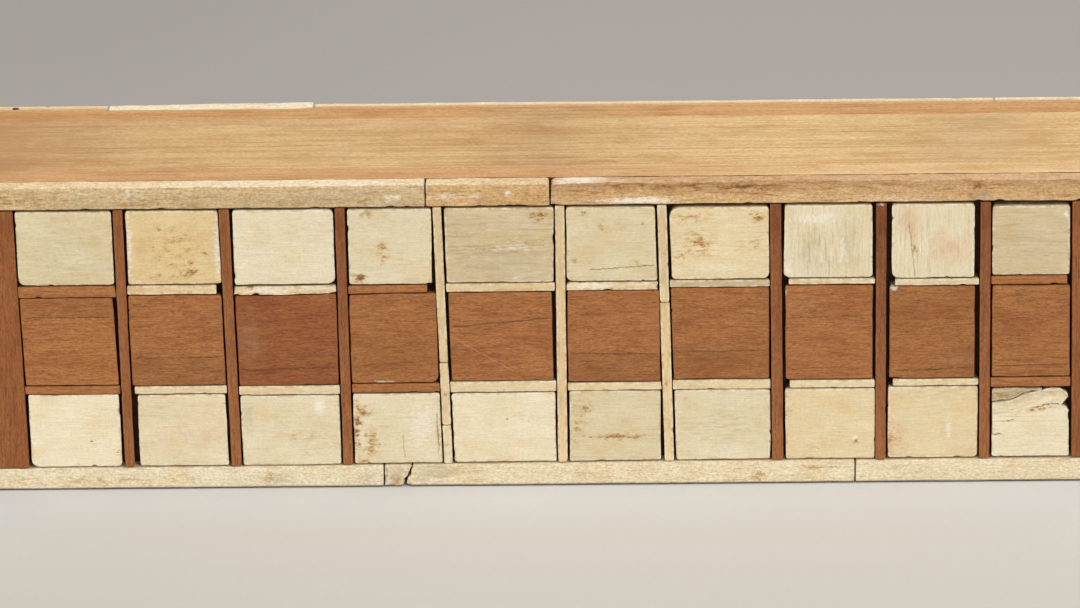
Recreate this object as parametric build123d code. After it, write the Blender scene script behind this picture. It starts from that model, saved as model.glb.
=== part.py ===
from build123d import *
from dataclasses import dataclass
import os

# A senet game box, standing on its long side with the senet face towards the viewer.
# X runs along the box, from the drawer end (-X) to the closed end (+X).
# -Y is the senet face, +Y is the face with the twenty squares, and +Z is up.
# The origin is on the surface that the box stands on, under the middle of the box.
# All sizes are in millimetres.

os.makedirs("parts", exist_ok=True)

# ---------------------------------------------------------------- senet face
# Clear width of each column between its two uprights, from left to right.
column_widths = [23.0, 22.55, 24.15, 20.85, 25.55, 22.1, 23.45, 21.75, 21.8, 19.0]
# The nine uprights between the columns: width, and how far the foot lies right of the head.
divider_widths = [2.1, 2.3, 2.2, 1.9, 2.1, 2.1, 2.5, 2.3, 2.3]
divider_leans = [0.6, 1.15, 0.55, 1.65, 0.1, 1.5, 0.65, 0.3, 0.5]
left_strip_lean = 1.6
right_strip_lean = 1.0
end_strip_width = 11.0

# Heights up the face, from the surface that the box stands on.
bottom_rail_height = 6.2
bottom_row_height = 18.1
lower_cross_height = 2.0
middle_row_height = 23.15
upper_cross_height = 1.6
top_row_height = 18.95
top_rail_height = 5.5

# Each short cross strip was cut by hand: its rise from the common level, and its own height.
lower_cross_rises = [0.25, 0.05, -0.25, 0.0, 0.05, -0.15, 0.05, -0.05, 0.1, -0.05]
lower_cross_heights = [1.7, 1.7, 1.9, 2.0, 2.4, 1.7, 2.1, 1.7, 1.4, 2.1]
upper_cross_rises = [0.0, 0.25, -0.05, -0.35, -0.25, -0.2, 0.2, 0.45, 0.05, 0.6]
upper_cross_heights = [1.9, 1.4, 1.4, 1.6, 1.8, 1.7, 1.5, 1.2, 1.4, 1.3]

# Columns counted from 1 at the left.
cross_strip_materials = {1: "wood", 4: "wood", 10: "wood"}
divider_materials = {4: "ivory", 5: "ivory", 6: "ivory"}
divider_joint_levels = {4: [16.0, 31.5], 6: [46.0]}

# Gaps that show dark between the pieces of the face.
square_side_gap = 0.65
square_end_gap = 0.45
cross_side_gap = 0.35
divider_end_gap = 0.25
joint_gap = 0.3

# Squares and cross strips that are shorter than their column: extra gap at left and right.
narrow_squares = {
    ("top", 4): (0.1, 0.4),
    ("top", 5): (0.2, 0.4),
    ("top", 9): (0.8, 0.8),
    ("middle", 1): (0.0, 0.6),
    ("middle", 5): (0.3, 0.4),
    ("middle", 8): (0.4, 0.3),
    ("middle", 9): (0.4, 0.7),
    ("bottom", 2): (0.6, 0.1),
}
short_upper_crosses = {2: (0.0, 1.2), 4: (0.0, 1.8), 8: (1.4, 0.0), 9: (1.8, 0.0), 10: (0.0, 0.8)}
short_lower_crosses = {2: (0.7, 0.0), 8: (1.4, 0.0), 9: (1.4, 0.0)}

# Rail joints, as places along X.
top_rail_joints = [-27.3, 1.4]
bottom_rail_joints = [-38.2, -31.9, 72.0]
rear_top_rail_joints = [-104.0, -55.0, 107.0]
rear_bottom_rail_joints = [18.0]
# How far each length of the rear upper rail stands proud.
rear_segment_rises = [0.0, 0.5, 0.0, 0.0]
top_rail_notch_width = 2.2
top_rail_notch_depth = 1.1

# The broken square at the right end of the bottom row.
# Crack points count from its upper left corner, notch points from its upper right corner.
crack_points = [(-1.0, -3.3), (2.4, -3.2), (5.4, -2.3), (8.4, -1.1), (11.0, -0.7), (12.6, 1.0)]
crack_width = 0.35
chip_points = [(1.0, -2.5), (-1.6, -4.3), (1.0, -5.4)]

# Thickness of the inlays, and how far each kind lies below the uprights and rails.
front_inlay = 4.5
rear_inlay = 3.5
square_recess = 0.25
cross_recess = 0.15
square_corner = 0.45
inlay_arris = 0.25

# ------------------------------------------------------ twenty-squares face
rear_columns = 12
rear_block_columns = 4
rear_divider_width = 2.0
rear_cross_height = 2.0
rear_middle_row_height = 21.5

# ------------------------------------------------------------------ carcass
front_board = 7.0
back_board = 7.5
side_board = 7.0
end_board = 7.0
cavity_depth = 34.0
stop_thickness = 5.0

peg_sides = 8
dowel_radius = 1.5
dowel_fit = 0.05
dowel_grip = 9.0
dowel_end_clearance = 0.5
dowels_per_edge = 4
dowel_margin = 24.0

# ------------------------------------------------------------------- drawer
drawer_length = 165.0
drawer_fit = 0.35
drawer_front_thickness = 7.0
drawer_rebate = 3.0
drawer_side = 3.0
drawer_floor = 3.0
drawer_back = 4.0
pin_radius = 0.8
pin_fit = 0.03
pin_grip = 5.0

# --------------------------------------------------------- bolt and staples
bolt_radius = 1.5
bolt_length = 30.0
bolt_travel = 7.0
bolt_clearance = 0.35
bolt_end_bevel = 0.5
handle_radius = 1.1
handle_length = 3.0
knob_radius = 1.9
knob_length = 2.6
knob_bevel = 0.8
staple_wire = 1.6
staple_leg = 5.0
staple_leg_fit = 0.03
staple_hole_end = 0.3
handle_rest_gap = 0.3
# At rest the bolt ends this far below the catch staple.
bolt_rest_gap = 3.0
# The upper drawer staple holds the bolt this far below its end.
upper_staple_from_head = 10.0

# ------------------------------------------------- nail in the rear top rail
nail_radius = 0.6
nail_head_radius = 0.95
nail_head_height = 0.6
nail_length = 11.0
nail_fit = 0.03
nail_from_end = 6.9

# ------------------------------------------------------- levels and planes
box_length = 2 * end_strip_width + sum(column_widths) + sum(divider_widths)
left_end = -box_length / 2
right_end = box_length / 2

lower_cross_level = bottom_rail_height + bottom_row_height
middle_row_foot = lower_cross_level + lower_cross_height
upper_cross_level = middle_row_foot + middle_row_height
top_row_foot = upper_cross_level + upper_cross_height
top_rail_foot = top_row_foot + top_row_height
box_height = top_rail_foot + top_rail_height
middle_level = (bottom_rail_height + top_rail_foot) / 2
clear_height = top_rail_foot - bottom_rail_height

box_depth = front_inlay + front_board + cavity_depth + back_board + rear_inlay
front_face = -box_depth / 2
front_board_face = front_face + front_inlay
cavity_front = front_board_face + front_board
cavity_back = cavity_front + cavity_depth
back_board_face = cavity_back + back_board
rear_face = back_board_face + rear_inlay
cavity_middle = (cavity_front + cavity_back) / 2

nodes = {}


# ------------------------------------------------------------------ helpers
def keep(name, *pieces):
    """Store one node, made of one or more separate solids."""
    nodes[name] = [solid for piece in pieces for solid in piece.solids()]


def block(left, right, front, back, bottom, top):
    """A rectangular piece between six planes."""
    centre = ((left + right) / 2, (front + back) / 2, (bottom + top) / 2)
    return Pos(*centre) * Box(right - left, back - front, top - bottom)


def rod(radius, start, end, bevel=0.0):
    """A round piece between two points."""
    line = Line(start, end)
    plane = Plane(origin=start, z_dir=line.tangent_at(0))
    piece = extrude(plane * Circle(radius), line.length)
    if bevel > 0:
        piece = chamfer(piece.edges().filter_by(GeomType.CIRCLE), bevel)
    return piece


def peg(radius, start, end):
    """A whittled piece with flat sides between two points."""
    line = Line(start, end)
    plane = Plane(origin=start, z_dir=line.tangent_at(0))
    return extrude(plane * RegularPolygon(radius, peg_sides), line.length)


def inlay(corners, face, thickness, corner=0.0):
    """A flat piece with its outline in (x, z), its outer surface at y = face and worn edges.

    A face in front of the middle of the box looks towards -Y, the other one towards +Y.
    """
    outline = make_face(Polyline(*corners, close=True))
    if corner > 0:
        outline = chamfer(outline.vertices(), corner)
    towards_front = face < 0
    inward = (0, 1, 0) if towards_front else (0, -1, 0)
    piece = extrude(Plane.XZ.offset(-face) * outline, thickness, dir=inward)
    outer = piece.faces().sort_by(Axis.Y)[0 if towards_front else -1]
    return chamfer(outer.edges(), inlay_arris)


@dataclass
class Upright:
    """An upright strip between two columns, or the inner edge of an end strip."""

    middle: float
    width: float
    lean: float

    def left(self, level):
        """X of its left side at this height."""
        return self.middle - self.width / 2 + self.lean * (middle_level - level) / clear_height

    def right(self, level):
        """X of its right side at this height."""
        return self.left(level) + self.width


def between(left_upright, right_upright, left_gap, right_gap, foot, head):
    """Corners of a piece that fills a column between two heights, its sides along the uprights."""
    return [
        (left_upright.right(foot) + left_gap, foot),
        (right_upright.left(foot) - right_gap, foot),
        (right_upright.left(head) - right_gap, head),
        (left_upright.right(head) + left_gap, head),
    ]


def along(upright, foot, head):
    """Corners of an upright strip between two heights."""
    return [
        (upright.left(foot), foot),
        (upright.right(foot), foot),
        (upright.right(head), head),
        (upright.left(head), head),
    ]


def rail(joints, foot, head, face, thickness):
    """The segments of a rail that runs from end to end, butted at its joints."""
    ends = [left_end - joint_gap / 2, *joints, right_end + joint_gap / 2]
    segments = []
    for start, end in zip(ends, ends[1:]):
        left = start + joint_gap / 2
        right = end - joint_gap / 2
        corners = [(left, foot), (right, foot), (right, head), (left, head)]
        segments.append(inlay(corners, face, thickness))
    return segments


# --------------------------------------------------------------- senet face
def uprights_of_face():
    """The two end strips' inner edges and the nine dividers, from left to right."""
    edge = left_end + end_strip_width
    uprights = [Upright(edge, 0.0, left_strip_lean)]
    for column_width, width, lean in zip(column_widths, divider_widths, divider_leans):
        edge += column_width
        uprights.append(Upright(edge + width / 2, width, lean))
        edge += width
    uprights.append(Upright(right_end - end_strip_width, 0.0, right_strip_lean))
    return uprights


uprights = uprights_of_face()
square_thickness = front_inlay - square_recess
square_face = front_face + square_recess


def cross_span(level, height, rise, own_height):
    """Foot and head of one cross strip, cut round the middle of the common level."""
    middle = level + height / 2 + rise
    return middle - own_height / 2, middle + own_height / 2


def lower_cross(column):
    """Foot and head of the lower cross strip in this column."""
    index = column - 1
    rise = lower_cross_rises[index]
    return cross_span(lower_cross_level, lower_cross_height, rise, lower_cross_heights[index])


def upper_cross(column):
    """Foot and head of the upper cross strip in this column."""
    index = column - 1
    rise = upper_cross_rises[index]
    return cross_span(upper_cross_level, upper_cross_height, rise, upper_cross_heights[index])


def square_corners(row, column):
    """Corners of one square, inside its uprights and its cross strips or rail."""
    rows = {
        "bottom": (bottom_rail_height, lower_cross(column)[0]),
        "middle": (lower_cross(column)[1], upper_cross(column)[0]),
        "top": (upper_cross(column)[1], top_rail_foot),
    }
    foot, head = rows[row]
    extra_left, extra_right = narrow_squares.get((row, column), (0.0, 0.0))
    return between(
        uprights[column - 1],
        uprights[column],
        square_side_gap + extra_left,
        square_side_gap + extra_right,
        foot + square_end_gap,
        head - square_end_gap,
    )


def broken_square(corners):
    """A square with a crack across its upper left corner and a chip out of its right side."""
    whole = inlay(corners, square_face, square_thickness, square_corner)
    upper_right, upper_left = corners[2], corners[3]
    upper_edge = [(upper_left[0] + x, upper_left[1] + z) for x, z in crack_points]
    lower_edge = [(x, z - crack_width) for x, z in reversed(upper_edge)]
    chip = [(upper_right[0] + x, upper_right[1] + z) for x, z in chip_points]
    for outline in (upper_edge + lower_edge, chip):
        cut = make_face(Polyline(*outline, close=True))
        whole -= extrude(Plane.XZ * cut, box_depth, both=True)
    return whole


def senet_squares():
    """Thirty squares: ivory above and below, wood in the middle row."""
    last_column = len(column_widths)
    for row in ("top", "middle", "bottom"):
        for column in range(1, last_column + 1):
            corners = square_corners(row, column)
            if row == "bottom" and column == last_column:
                piece = broken_square(corners)
            else:
                piece = inlay(corners, square_face, square_thickness, square_corner)
            keep(f"square_{row}_{column:02d}", piece)


def cross_strips():
    """Short strips between the rows, wood in three columns and ivory in the others."""
    face = front_face + cross_recess
    strips = {"wood": [], "ivory": []}
    for column in range(1, len(column_widths) + 1):
        kind = cross_strip_materials.get(column, "ivory")
        for span, short in ((lower_cross, short_lower_crosses), (upper_cross, short_upper_crosses)):
            foot, head = span(column)
            extra_left, extra_right = short.get(column, (0.0, 0.0))
            left_gap = cross_side_gap + extra_left
            right_gap = cross_side_gap + extra_right
            corners = between(uprights[column - 1], uprights[column], left_gap, right_gap, foot, head)
            strips[kind].append(inlay(corners, face, front_inlay - cross_recess))
    keep("wood_cross_strips", *strips["wood"])
    keep("ivory_cross_strips", *strips["ivory"])


def dividers():
    """Uprights between the columns; two of the ivory ones are pieced together."""
    foot = bottom_rail_height + divider_end_gap
    head = top_rail_foot - divider_end_gap
    strips = {"wood": [], "ivory": []}
    for number in range(1, len(divider_widths) + 1):
        kind = divider_materials.get(number, "wood")
        levels = [foot - joint_gap / 2, *divider_joint_levels.get(number, []), head + joint_gap / 2]
        for low, high in zip(levels, levels[1:]):
            corners = along(uprights[number], low + joint_gap / 2, high - joint_gap / 2)
            strips[kind].append(inlay(corners, front_face, front_inlay))
    keep("wood_dividers", *strips["wood"])
    keep("ivory_dividers", *strips["ivory"])


def end_strip_pair(left, right, face, thickness):
    """Wide upright strips at both ends of a face, each with its inner edge along an upright."""
    foot = bottom_rail_height + divider_end_gap
    head = top_rail_foot - divider_end_gap
    left_corners = [(left_end, foot), (left.right(foot), foot), (left.right(head), head), (left_end, head)]
    right_corners = [(right.left(foot), foot), (right_end, foot), (right_end, head), (right.left(head), head)]
    return [inlay(corners, face, thickness) for corners in (left_corners, right_corners)]


def front_rails():
    """Ivory rails above and below the squares; the last joint of the upper rail is notched."""
    upper = rail(top_rail_joints, top_rail_foot, box_height, front_face, front_inlay)
    middle = top_rail_joints[-1]
    half = top_rail_notch_width / 2
    # The notch runs on above the rail, so that it cuts the top clean away.
    overshoot = 1.0
    points = [
        (middle, box_height - top_rail_notch_depth),
        (middle + half, box_height),
        (middle + half, box_height + overshoot),
        (middle - half, box_height + overshoot),
        (middle - half, box_height),
    ]
    notch = extrude(Plane.XZ * make_face(Polyline(*points, close=True)), box_depth, both=True)
    keep("top_rail", *[segment - notch for segment in upper])
    keep("bottom_rail", *rail(bottom_rail_joints, 0.0, bottom_rail_height, front_face, front_inlay))


# ------------------------------------------------------ twenty-squares face
def rear_uprights():
    """Inner edges of the rear end strips and the eleven even dividers between them."""
    clear = box_length - 2 * end_strip_width - (rear_columns - 1) * rear_divider_width
    column = clear / rear_columns
    first = left_end + end_strip_width
    places = [Upright(first, 0.0, 0.0)]
    for number in range(1, rear_columns):
        middle = first + number * column + (number - 0.5) * rear_divider_width
        places.append(Upright(middle, rear_divider_width, 0.0))
    places.append(Upright(right_end - end_strip_width, 0.0, 0.0))
    return places


def rear_levels():
    """Foot and head of the three rows of squares on the rear face."""
    low = middle_level - rear_middle_row_height / 2
    high = middle_level + rear_middle_row_height / 2
    return {
        "bottom": (bottom_rail_height, low - rear_cross_height),
        "middle": (low, high),
        "top": (high + rear_cross_height, top_rail_foot),
    }


def rear_squares_and_panels():
    """A block of three by four squares, an arm of eight more, and a panel on each side of the arm."""
    places = rear_uprights()
    levels = rear_levels()
    face = rear_face - square_recess
    thickness = rear_inlay - square_recess
    arm_columns = rear_columns - rear_block_columns
    squares = []
    panels = []
    for row, (foot, head) in levels.items():
        first = 1 if row == "middle" else arm_columns + 1
        low, high = foot + square_end_gap, head - square_end_gap
        for column in range(first, rear_columns + 1):
            gap = square_side_gap
            corners = between(places[column - 1], places[column], gap, gap, low, high)
            squares.append(inlay(corners, face, thickness, square_corner))
        if row != "middle":
            corners = between(places[0], places[arm_columns], square_side_gap, square_side_gap, low, high)
            panels.append(inlay(corners, face, thickness, square_corner))
    keep("rear_squares", *squares)
    keep("rear_panels", *panels)


def rear_strips():
    """Dividers and cross strips of the rear face."""
    places = rear_uprights()
    levels = rear_levels()
    arm_columns = rear_columns - rear_block_columns
    tall = (bottom_rail_height + divider_end_gap, top_rail_foot - divider_end_gap)
    short = (levels["middle"][0] + divider_end_gap, levels["middle"][1] - divider_end_gap)
    uprights_made = []
    for number in range(1, rear_columns):
        foot, head = tall if number >= arm_columns else short
        corners = along(places[number], foot, head)
        uprights_made.append(inlay(corners, rear_face, rear_inlay))
    crosses = []
    spans = [(0, arm_columns)] + [(n, n + 1) for n in range(arm_columns, rear_columns)]
    for foot in (levels["bottom"][1], levels["middle"][1]):
        for start, end in spans:
            head = foot + rear_cross_height
            corners = between(places[start], places[end], cross_side_gap, cross_side_gap, foot, head)
            face = rear_face - cross_recess
            crosses.append(inlay(corners, face, rear_inlay - cross_recess))
    keep("rear_dividers", *uprights_made)
    keep("rear_cross_strips", *crosses)


def rear_rails_and_end_strips():
    """Rails of the rear face, the end strips of both faces, and the nail in the rear upper rail."""
    upper = rail(rear_top_rail_joints, top_rail_foot, box_height, rear_face, rear_inlay)
    upper = [Pos(0, 0, rise) * piece for rise, piece in zip(rear_segment_rises, upper)]
    places = rear_uprights()
    front_strips = end_strip_pair(uprights[0], uprights[-1], front_face, front_inlay)
    rear_strip_pair = end_strip_pair(places[0], places[-1], rear_face, rear_inlay)
    x = left_end + nail_from_end
    y = rear_face - rear_inlay / 2
    tip = box_height - nail_length
    nail = rod(nail_radius, (x, y, tip), (x, y, box_height))
    nail += rod(nail_head_radius, (x, y, box_height - nail_head_height), (x, y, box_height))
    hole = rod(nail_radius + nail_fit, (x, y, tip - nail_fit), (x, y, box_height))
    seat = box_height - nail_head_height - nail_fit
    hole += rod(nail_head_radius + nail_fit, (x, y, seat), (x, y, box_height))
    upper[0] -= hole
    rear_strip_pair[0] -= hole
    keep("rear_top_rail", *upper)
    keep("rear_bottom_rail", *rail(rear_bottom_rail_joints, 0.0, bottom_rail_height, rear_face, rear_inlay))
    keep("end_strips", *front_strips, *rear_strip_pair)
    keep("rear_rail_nail", nail)


# ------------------------------------------------------------------ carcass
stop_left = left_end + drawer_length + drawer_fit


def dowel_places():
    """Centres (x, z) of the dowels that pin each face board to the boards behind it."""
    first = left_end + dowel_margin
    step = (box_length - 2 * dowel_margin) / (dowels_per_edge - 1)
    along_edges = [first + number * step for number in range(dowels_per_edge)]
    places = [(x, z) for x in along_edges for z in (side_board / 2, box_height - side_board / 2)]
    for x in (stop_left + stop_thickness / 2, right_end - end_board / 2):
        places += [(x, box_height / 2)]
    return places


def dowels_and_holes():
    """Every dowel of the carcass, and the cutter for its hole."""
    pieces = []
    holes = []
    for x, z in dowel_places():
        for outer, inward, board in ((front_board_face, 1, front_board), (back_board_face, -1, back_board)):
            inner = outer + inward * (board + dowel_grip)
            hole_end = inner + inward * dowel_end_clearance
            pieces.append(peg(dowel_radius, (x, outer, z), (x, inner, z)))
            holes.append(peg(dowel_radius + dowel_fit, (x, outer, z), (x, hole_end, z)))
    return pieces, holes


def cut_with(piece, cutters):
    """Take away those cutters that reach into the piece's own box."""
    bounds = piece.bounding_box()
    for cutter in cutters:
        other = cutter.bounding_box()
        apart = (
            other.min.X > bounds.max.X or other.max.X < bounds.min.X
            or other.min.Y > bounds.max.Y or other.max.Y < bounds.min.Y
            or other.min.Z > bounds.max.Z or other.max.Z < bounds.min.Z
        )
        if not apart:
            piece -= cutter
    return piece


def staple_hole_cutters(level):
    """Cutters for the two legs of a staple at this height on the drawer end."""
    half = staple_wire / 2 + staple_leg_fit
    deep = left_end + staple_leg + staple_hole_end
    legs = (staple_left, staple_right)
    return [block(left_end, deep, y - half, y + half, level - half, level + half) for y in legs]


def carcass():
    """Six boards round the drawer space, with the stop that ends it, and their dowels."""
    dowels, holes = dowels_and_holes()
    upper_foot = box_height - side_board
    catch_holes = staple_hole_cutters(catch_level)
    front = block(left_end, right_end, front_board_face, cavity_front, 0, box_height)
    back = block(left_end, right_end, cavity_back, back_board_face, 0, box_height)
    lower = block(left_end, right_end, cavity_front, cavity_back, 0, side_board)
    upper = block(left_end, right_end, cavity_front, cavity_back, upper_foot, box_height)
    end = block(right_end - end_board, right_end, cavity_front, cavity_back, side_board, upper_foot)
    stop_right = stop_left + stop_thickness
    stop = block(stop_left, stop_right, cavity_front, cavity_back, side_board, upper_foot)
    keep("front_board", cut_with(front, holes))
    keep("back_board", cut_with(back, holes))
    keep("lower_side_board", cut_with(lower, holes))
    keep("upper_side_board", cut_with(upper, holes + catch_holes))
    keep("end_board", cut_with(end, holes))
    keep("drawer_stop", cut_with(stop, holes))
    keep("carcass_dowels", *dowels)


# ------------------------------------------------------------------- drawer
drawer_front_y = cavity_front + drawer_fit
drawer_back_y = cavity_back - drawer_fit
drawer_foot = side_board + drawer_fit
drawer_head = box_height - side_board - drawer_fit
drawer_end = left_end + drawer_length


def drawer_pin_pegs(radius, extra_depth):
    """Pins through both sides into the tongue of the front and into the back."""
    tongue_middle = left_end + drawer_front_thickness - drawer_rebate / 2
    back_middle = drawer_end - drawer_back / 2
    quarter = (drawer_back_y - drawer_front_y) / 4
    pegs = []
    for x in (tongue_middle, back_middle):
        for y in (drawer_front_y + quarter, drawer_back_y - quarter):
            depth = drawer_side + pin_grip + extra_depth
            pegs.append(peg(radius, (x, y, drawer_foot), (x, y, drawer_foot + depth)))
            pegs.append(peg(radius, (x, y, drawer_head), (x, y, drawer_head - depth)))
    return pegs


def drawer():
    """The tray that slides out of the left end: rebated front, two sides, floor and back."""
    pins = drawer_pin_pegs(pin_radius, 0.0)
    pin_holes = drawer_pin_pegs(pin_radius + pin_fit, pin_fit)
    inner_foot = drawer_foot + drawer_side
    inner_head = drawer_head - drawer_side
    floor_y = drawer_back_y - drawer_floor
    shoulder = left_end + drawer_front_thickness - drawer_rebate
    tongue_end = left_end + drawer_front_thickness
    front = block(left_end, shoulder, drawer_front_y, drawer_back_y, drawer_foot, drawer_head)
    front += block(shoulder, tongue_end, drawer_front_y, floor_y, inner_foot, inner_head)
    staple_holes = staple_hole_cutters(lower_staple_level) + staple_hole_cutters(upper_staple_level)
    lower_side = block(shoulder, drawer_end, drawer_front_y, drawer_back_y, drawer_foot, inner_foot)
    upper_side = block(shoulder, drawer_end, drawer_front_y, drawer_back_y, inner_head, drawer_head)
    floor = block(shoulder, drawer_end, floor_y, drawer_back_y, inner_foot, inner_head)
    back = block(drawer_end - drawer_back, drawer_end, drawer_front_y, floor_y, inner_foot, inner_head)
    keep("drawer_front", cut_with(front, pin_holes + staple_holes))
    keep("drawer_lower_side", cut_with(lower_side, pin_holes))
    keep("drawer_upper_side", cut_with(upper_side, pin_holes))
    keep("drawer_floor", floor)
    keep("drawer_back", cut_with(back, pin_holes))
    keep("drawer_pins", *pins)


# --------------------------------------------------------- bolt and staples
bolt_x = left_end - bolt_radius - bolt_clearance
staple_reach = bolt_radius + bolt_clearance + staple_wire / 2
staple_left = cavity_middle - staple_reach
staple_right = cavity_middle + staple_reach
catch_level = box_height - side_board / 2
bolt_head = catch_level - staple_wire / 2 - bolt_rest_gap
bolt_foot = bolt_head - bolt_length
upper_staple_level = bolt_head - upper_staple_from_head
# The handle meets a drawer staple at each end of the bolt's travel.
handle_span = bolt_travel + 2 * handle_radius + 2 * handle_rest_gap
lower_staple_level = upper_staple_level - handle_span - staple_wire
handle_level = lower_staple_level + staple_wire / 2 + handle_rest_gap + handle_radius


def staple(level):
    """A square wire bent round the bolt, with both legs driven into the wood."""
    deep = left_end + staple_leg
    half = staple_wire / 2
    foot = level - half
    head = level + half
    axis = Plane(origin=(bolt_x, cavity_middle, foot))
    ring = extrude(axis * (Circle(staple_reach + half) - Circle(staple_reach - half)), staple_wire)
    bend = ring & block(bolt_x - 2 * staple_reach, bolt_x, front_face, rear_face, foot, head)
    legs = [block(bolt_x, deep, y - half, y + half, foot, head) for y in (staple_left, staple_right)]
    return bend + legs


def bolt():
    """A round bolt with a knobbed handle that stands out between the two drawer staples."""
    shaft_start = (bolt_x, cavity_middle, bolt_foot)
    shaft_end = (bolt_x, cavity_middle, bolt_head)
    shaft = rod(bolt_radius, shaft_start, shaft_end, bolt_end_bevel)
    knob_x = bolt_x - bolt_radius - handle_length
    tip_x = knob_x - knob_length
    handle = rod(handle_radius, (bolt_x, cavity_middle, handle_level), (knob_x, cavity_middle, handle_level))
    knob = rod(knob_radius, (knob_x, cavity_middle, handle_level), (tip_x, cavity_middle, handle_level), knob_bevel)
    return shaft + handle + knob


def bolt_and_staples():
    """The copper-alloy fastening of the drawer."""
    keep("bolt", bolt())
    keep("drawer_staples", staple(lower_staple_level), staple(upper_staple_level))
    keep("catch_staple", staple(catch_level))


# -------------------------------------------------------------------- build
senet_squares()
cross_strips()
dividers()
front_rails()
rear_squares_and_panels()
rear_strips()
rear_rails_and_end_strips()
carcass()
drawer()
bolt_and_staples()

for name, solids in nodes.items():
    shape = solids[0] if len(solids) == 1 else Compound(children=solids)
    shape.label = name
    export_step(shape, f"parts/{name}.step")

print(f"box {box_length:.1f} x {box_depth:.1f} x {box_height:.1f} mm, {len(nodes)} nodes")
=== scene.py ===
import logging
import math
from dataclasses import dataclass, field, replace
from enum import Enum

import bmesh
import bpy
import numpy as np
from mathutils import Matrix, Vector, geometry


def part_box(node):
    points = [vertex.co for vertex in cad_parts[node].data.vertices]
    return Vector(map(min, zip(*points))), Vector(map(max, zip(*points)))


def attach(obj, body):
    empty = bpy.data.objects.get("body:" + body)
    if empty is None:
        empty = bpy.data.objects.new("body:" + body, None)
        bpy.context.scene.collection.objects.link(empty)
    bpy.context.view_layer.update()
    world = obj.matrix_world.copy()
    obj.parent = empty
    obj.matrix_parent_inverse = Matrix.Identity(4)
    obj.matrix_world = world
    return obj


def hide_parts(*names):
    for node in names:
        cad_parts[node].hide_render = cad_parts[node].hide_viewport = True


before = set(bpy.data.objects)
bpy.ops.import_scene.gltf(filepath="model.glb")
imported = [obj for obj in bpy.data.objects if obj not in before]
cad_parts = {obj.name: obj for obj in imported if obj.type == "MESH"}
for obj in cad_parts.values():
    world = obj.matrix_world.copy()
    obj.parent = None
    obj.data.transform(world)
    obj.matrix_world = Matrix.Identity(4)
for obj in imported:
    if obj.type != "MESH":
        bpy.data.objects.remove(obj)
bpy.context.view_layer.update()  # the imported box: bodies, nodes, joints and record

MM = 0.001
log = logging.getLogger("senet_box")

# How far the pieces of the senet face have sunk, in millimetres, at heights above the floor; and how much
# further the strips below the upper row have on the left.
SETTLING = ((0.0, 1.0, 6.5, 20.0, 27.0, 45.0, 60.0), (0.0, 0.1, 0.75, 0.5, 0.38, 0.35, 0.0))
LEFT_SETTLING = ((45.0, 48.7, 49.8, 51.2), (0.0, 0.6, 0.6, 0.0))

Point = tuple[float, float]
Socket = bpy.types.NodeSocket


# ------------------------------------------------------------------ words for shades and marks
class Shade(Enum):
    """Named colours of the box, as they look in plain light, 0 to 255."""

    FRESH_IVORY = (243, 229, 196)
    CREAM = (236, 222, 190)
    PALE_BONE = (229, 215, 181)
    BONE = (224, 208, 170)
    HONEYED = (225, 200, 150)
    GREYED = (212, 192, 153)
    YELLOWED = (230, 210, 168)
    STRIP_IVORY = (227, 202, 155)
    STRIP_HEAD = (218, 191, 148)
    STRIP_FOOT = (236, 208, 162)
    RAIL_IVORY = (233, 217, 182)
    RAIL_TOP = (226, 203, 161)
    RAIL_TOP_MIDDLE = (222, 195, 149)
    AGED_RAIL = (207, 181, 137)
    AGED_RAIL_HEAD = (211, 184, 140)
    BROWNED_RAIL = (214, 176, 124)
    DARK_RAIL_HEAD = (190, 148, 102)
    BROWNED_TOP = (206, 166, 120)
    RUSSET = (165, 109, 63)
    DEEP_RUSSET = (152, 92, 53)
    WARM_RUSSET = (170, 112, 66)
    UPRIGHT_FOOT = (160, 103, 61)
    UPRIGHT_HEAD = (139, 84, 49)
    UPRIGHT_PALE = (153, 96, 55)
    UPRIGHT_DARK = (127, 74, 41)
    END_STRIP_WOOD = (151, 93, 52)
    SIDE_BOARD = (206, 168, 117)
    SIDE_BOARD_DULL = (192, 152, 104)
    SIDE_BOARD_PALE = (214, 178, 125)
    FACE_BOARD = (203, 156, 106)
    FACE_BOARD_PALE = (217, 180, 129)
    BACK_BOARD = (197, 148, 95)
    DRAWER_WOOD = (190, 146, 98)
    # Painted shade on the boards' faces under the inlays, seen down in the gaps.
    OLD_GLUE = (82, 50, 31)
    STAIN = (172, 122, 66)
    SOOT = (84, 55, 34)
    GREY_FILM = (178, 162, 132)
    CHALK = (246, 239, 222)
    BLUSH = (214, 160, 124)
    COPPER = (96, 62, 38)
    # Blackened nail, and the painted contact shadow along the lower rail's foot.
    BLACKENED = (44, 31, 24)
    VERDIGRIS = (86, 104, 80)

    def linear(self, alpha: float = 1.0) -> tuple[float, float, float, float]:
        """This shade as Blender's shaders take it."""
        channels = [value / 255 for value in self.value]
        straight = [c / 12.92 if c <= 0.04045 else ((c + 0.055) / 1.055) ** 2.4 for c in channels]
        return (*straight, alpha)


class Side(Enum):
    """The four sides of a piece as seen from its own face."""

    LEFT = "left"
    RIGHT = "right"
    BOTTOM = "bottom"
    TOP = "top"


class Row(Enum):
    """The three rows of the senet face."""

    TOP = "top"
    MIDDLE = "middle"
    BOTTOM = "bottom"


class MarkKind(Enum):
    """What a mark on a piece is: which attribute holds it, and which of its three numbers."""

    STAIN = ("marks", 0)
    FILM = ("marks", 1)
    CHALK = ("marks", 2)
    BLUSH = ("more", 0)
    WEATHERED = ("more", 1)


@dataclass(frozen=True)
class Mark:
    """A stain or worn place: its middle and its reach as shares of the piece, from the lower left."""

    kind: MarkKind
    at: Point
    reach: Point
    strength: float = 0.7


@dataclass(frozen=True)
class Line:
    """A crack, seam or scratch between two places given as shares of the piece; pale below zero."""

    start: Point
    end: Point
    strength: float = 1.0


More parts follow.
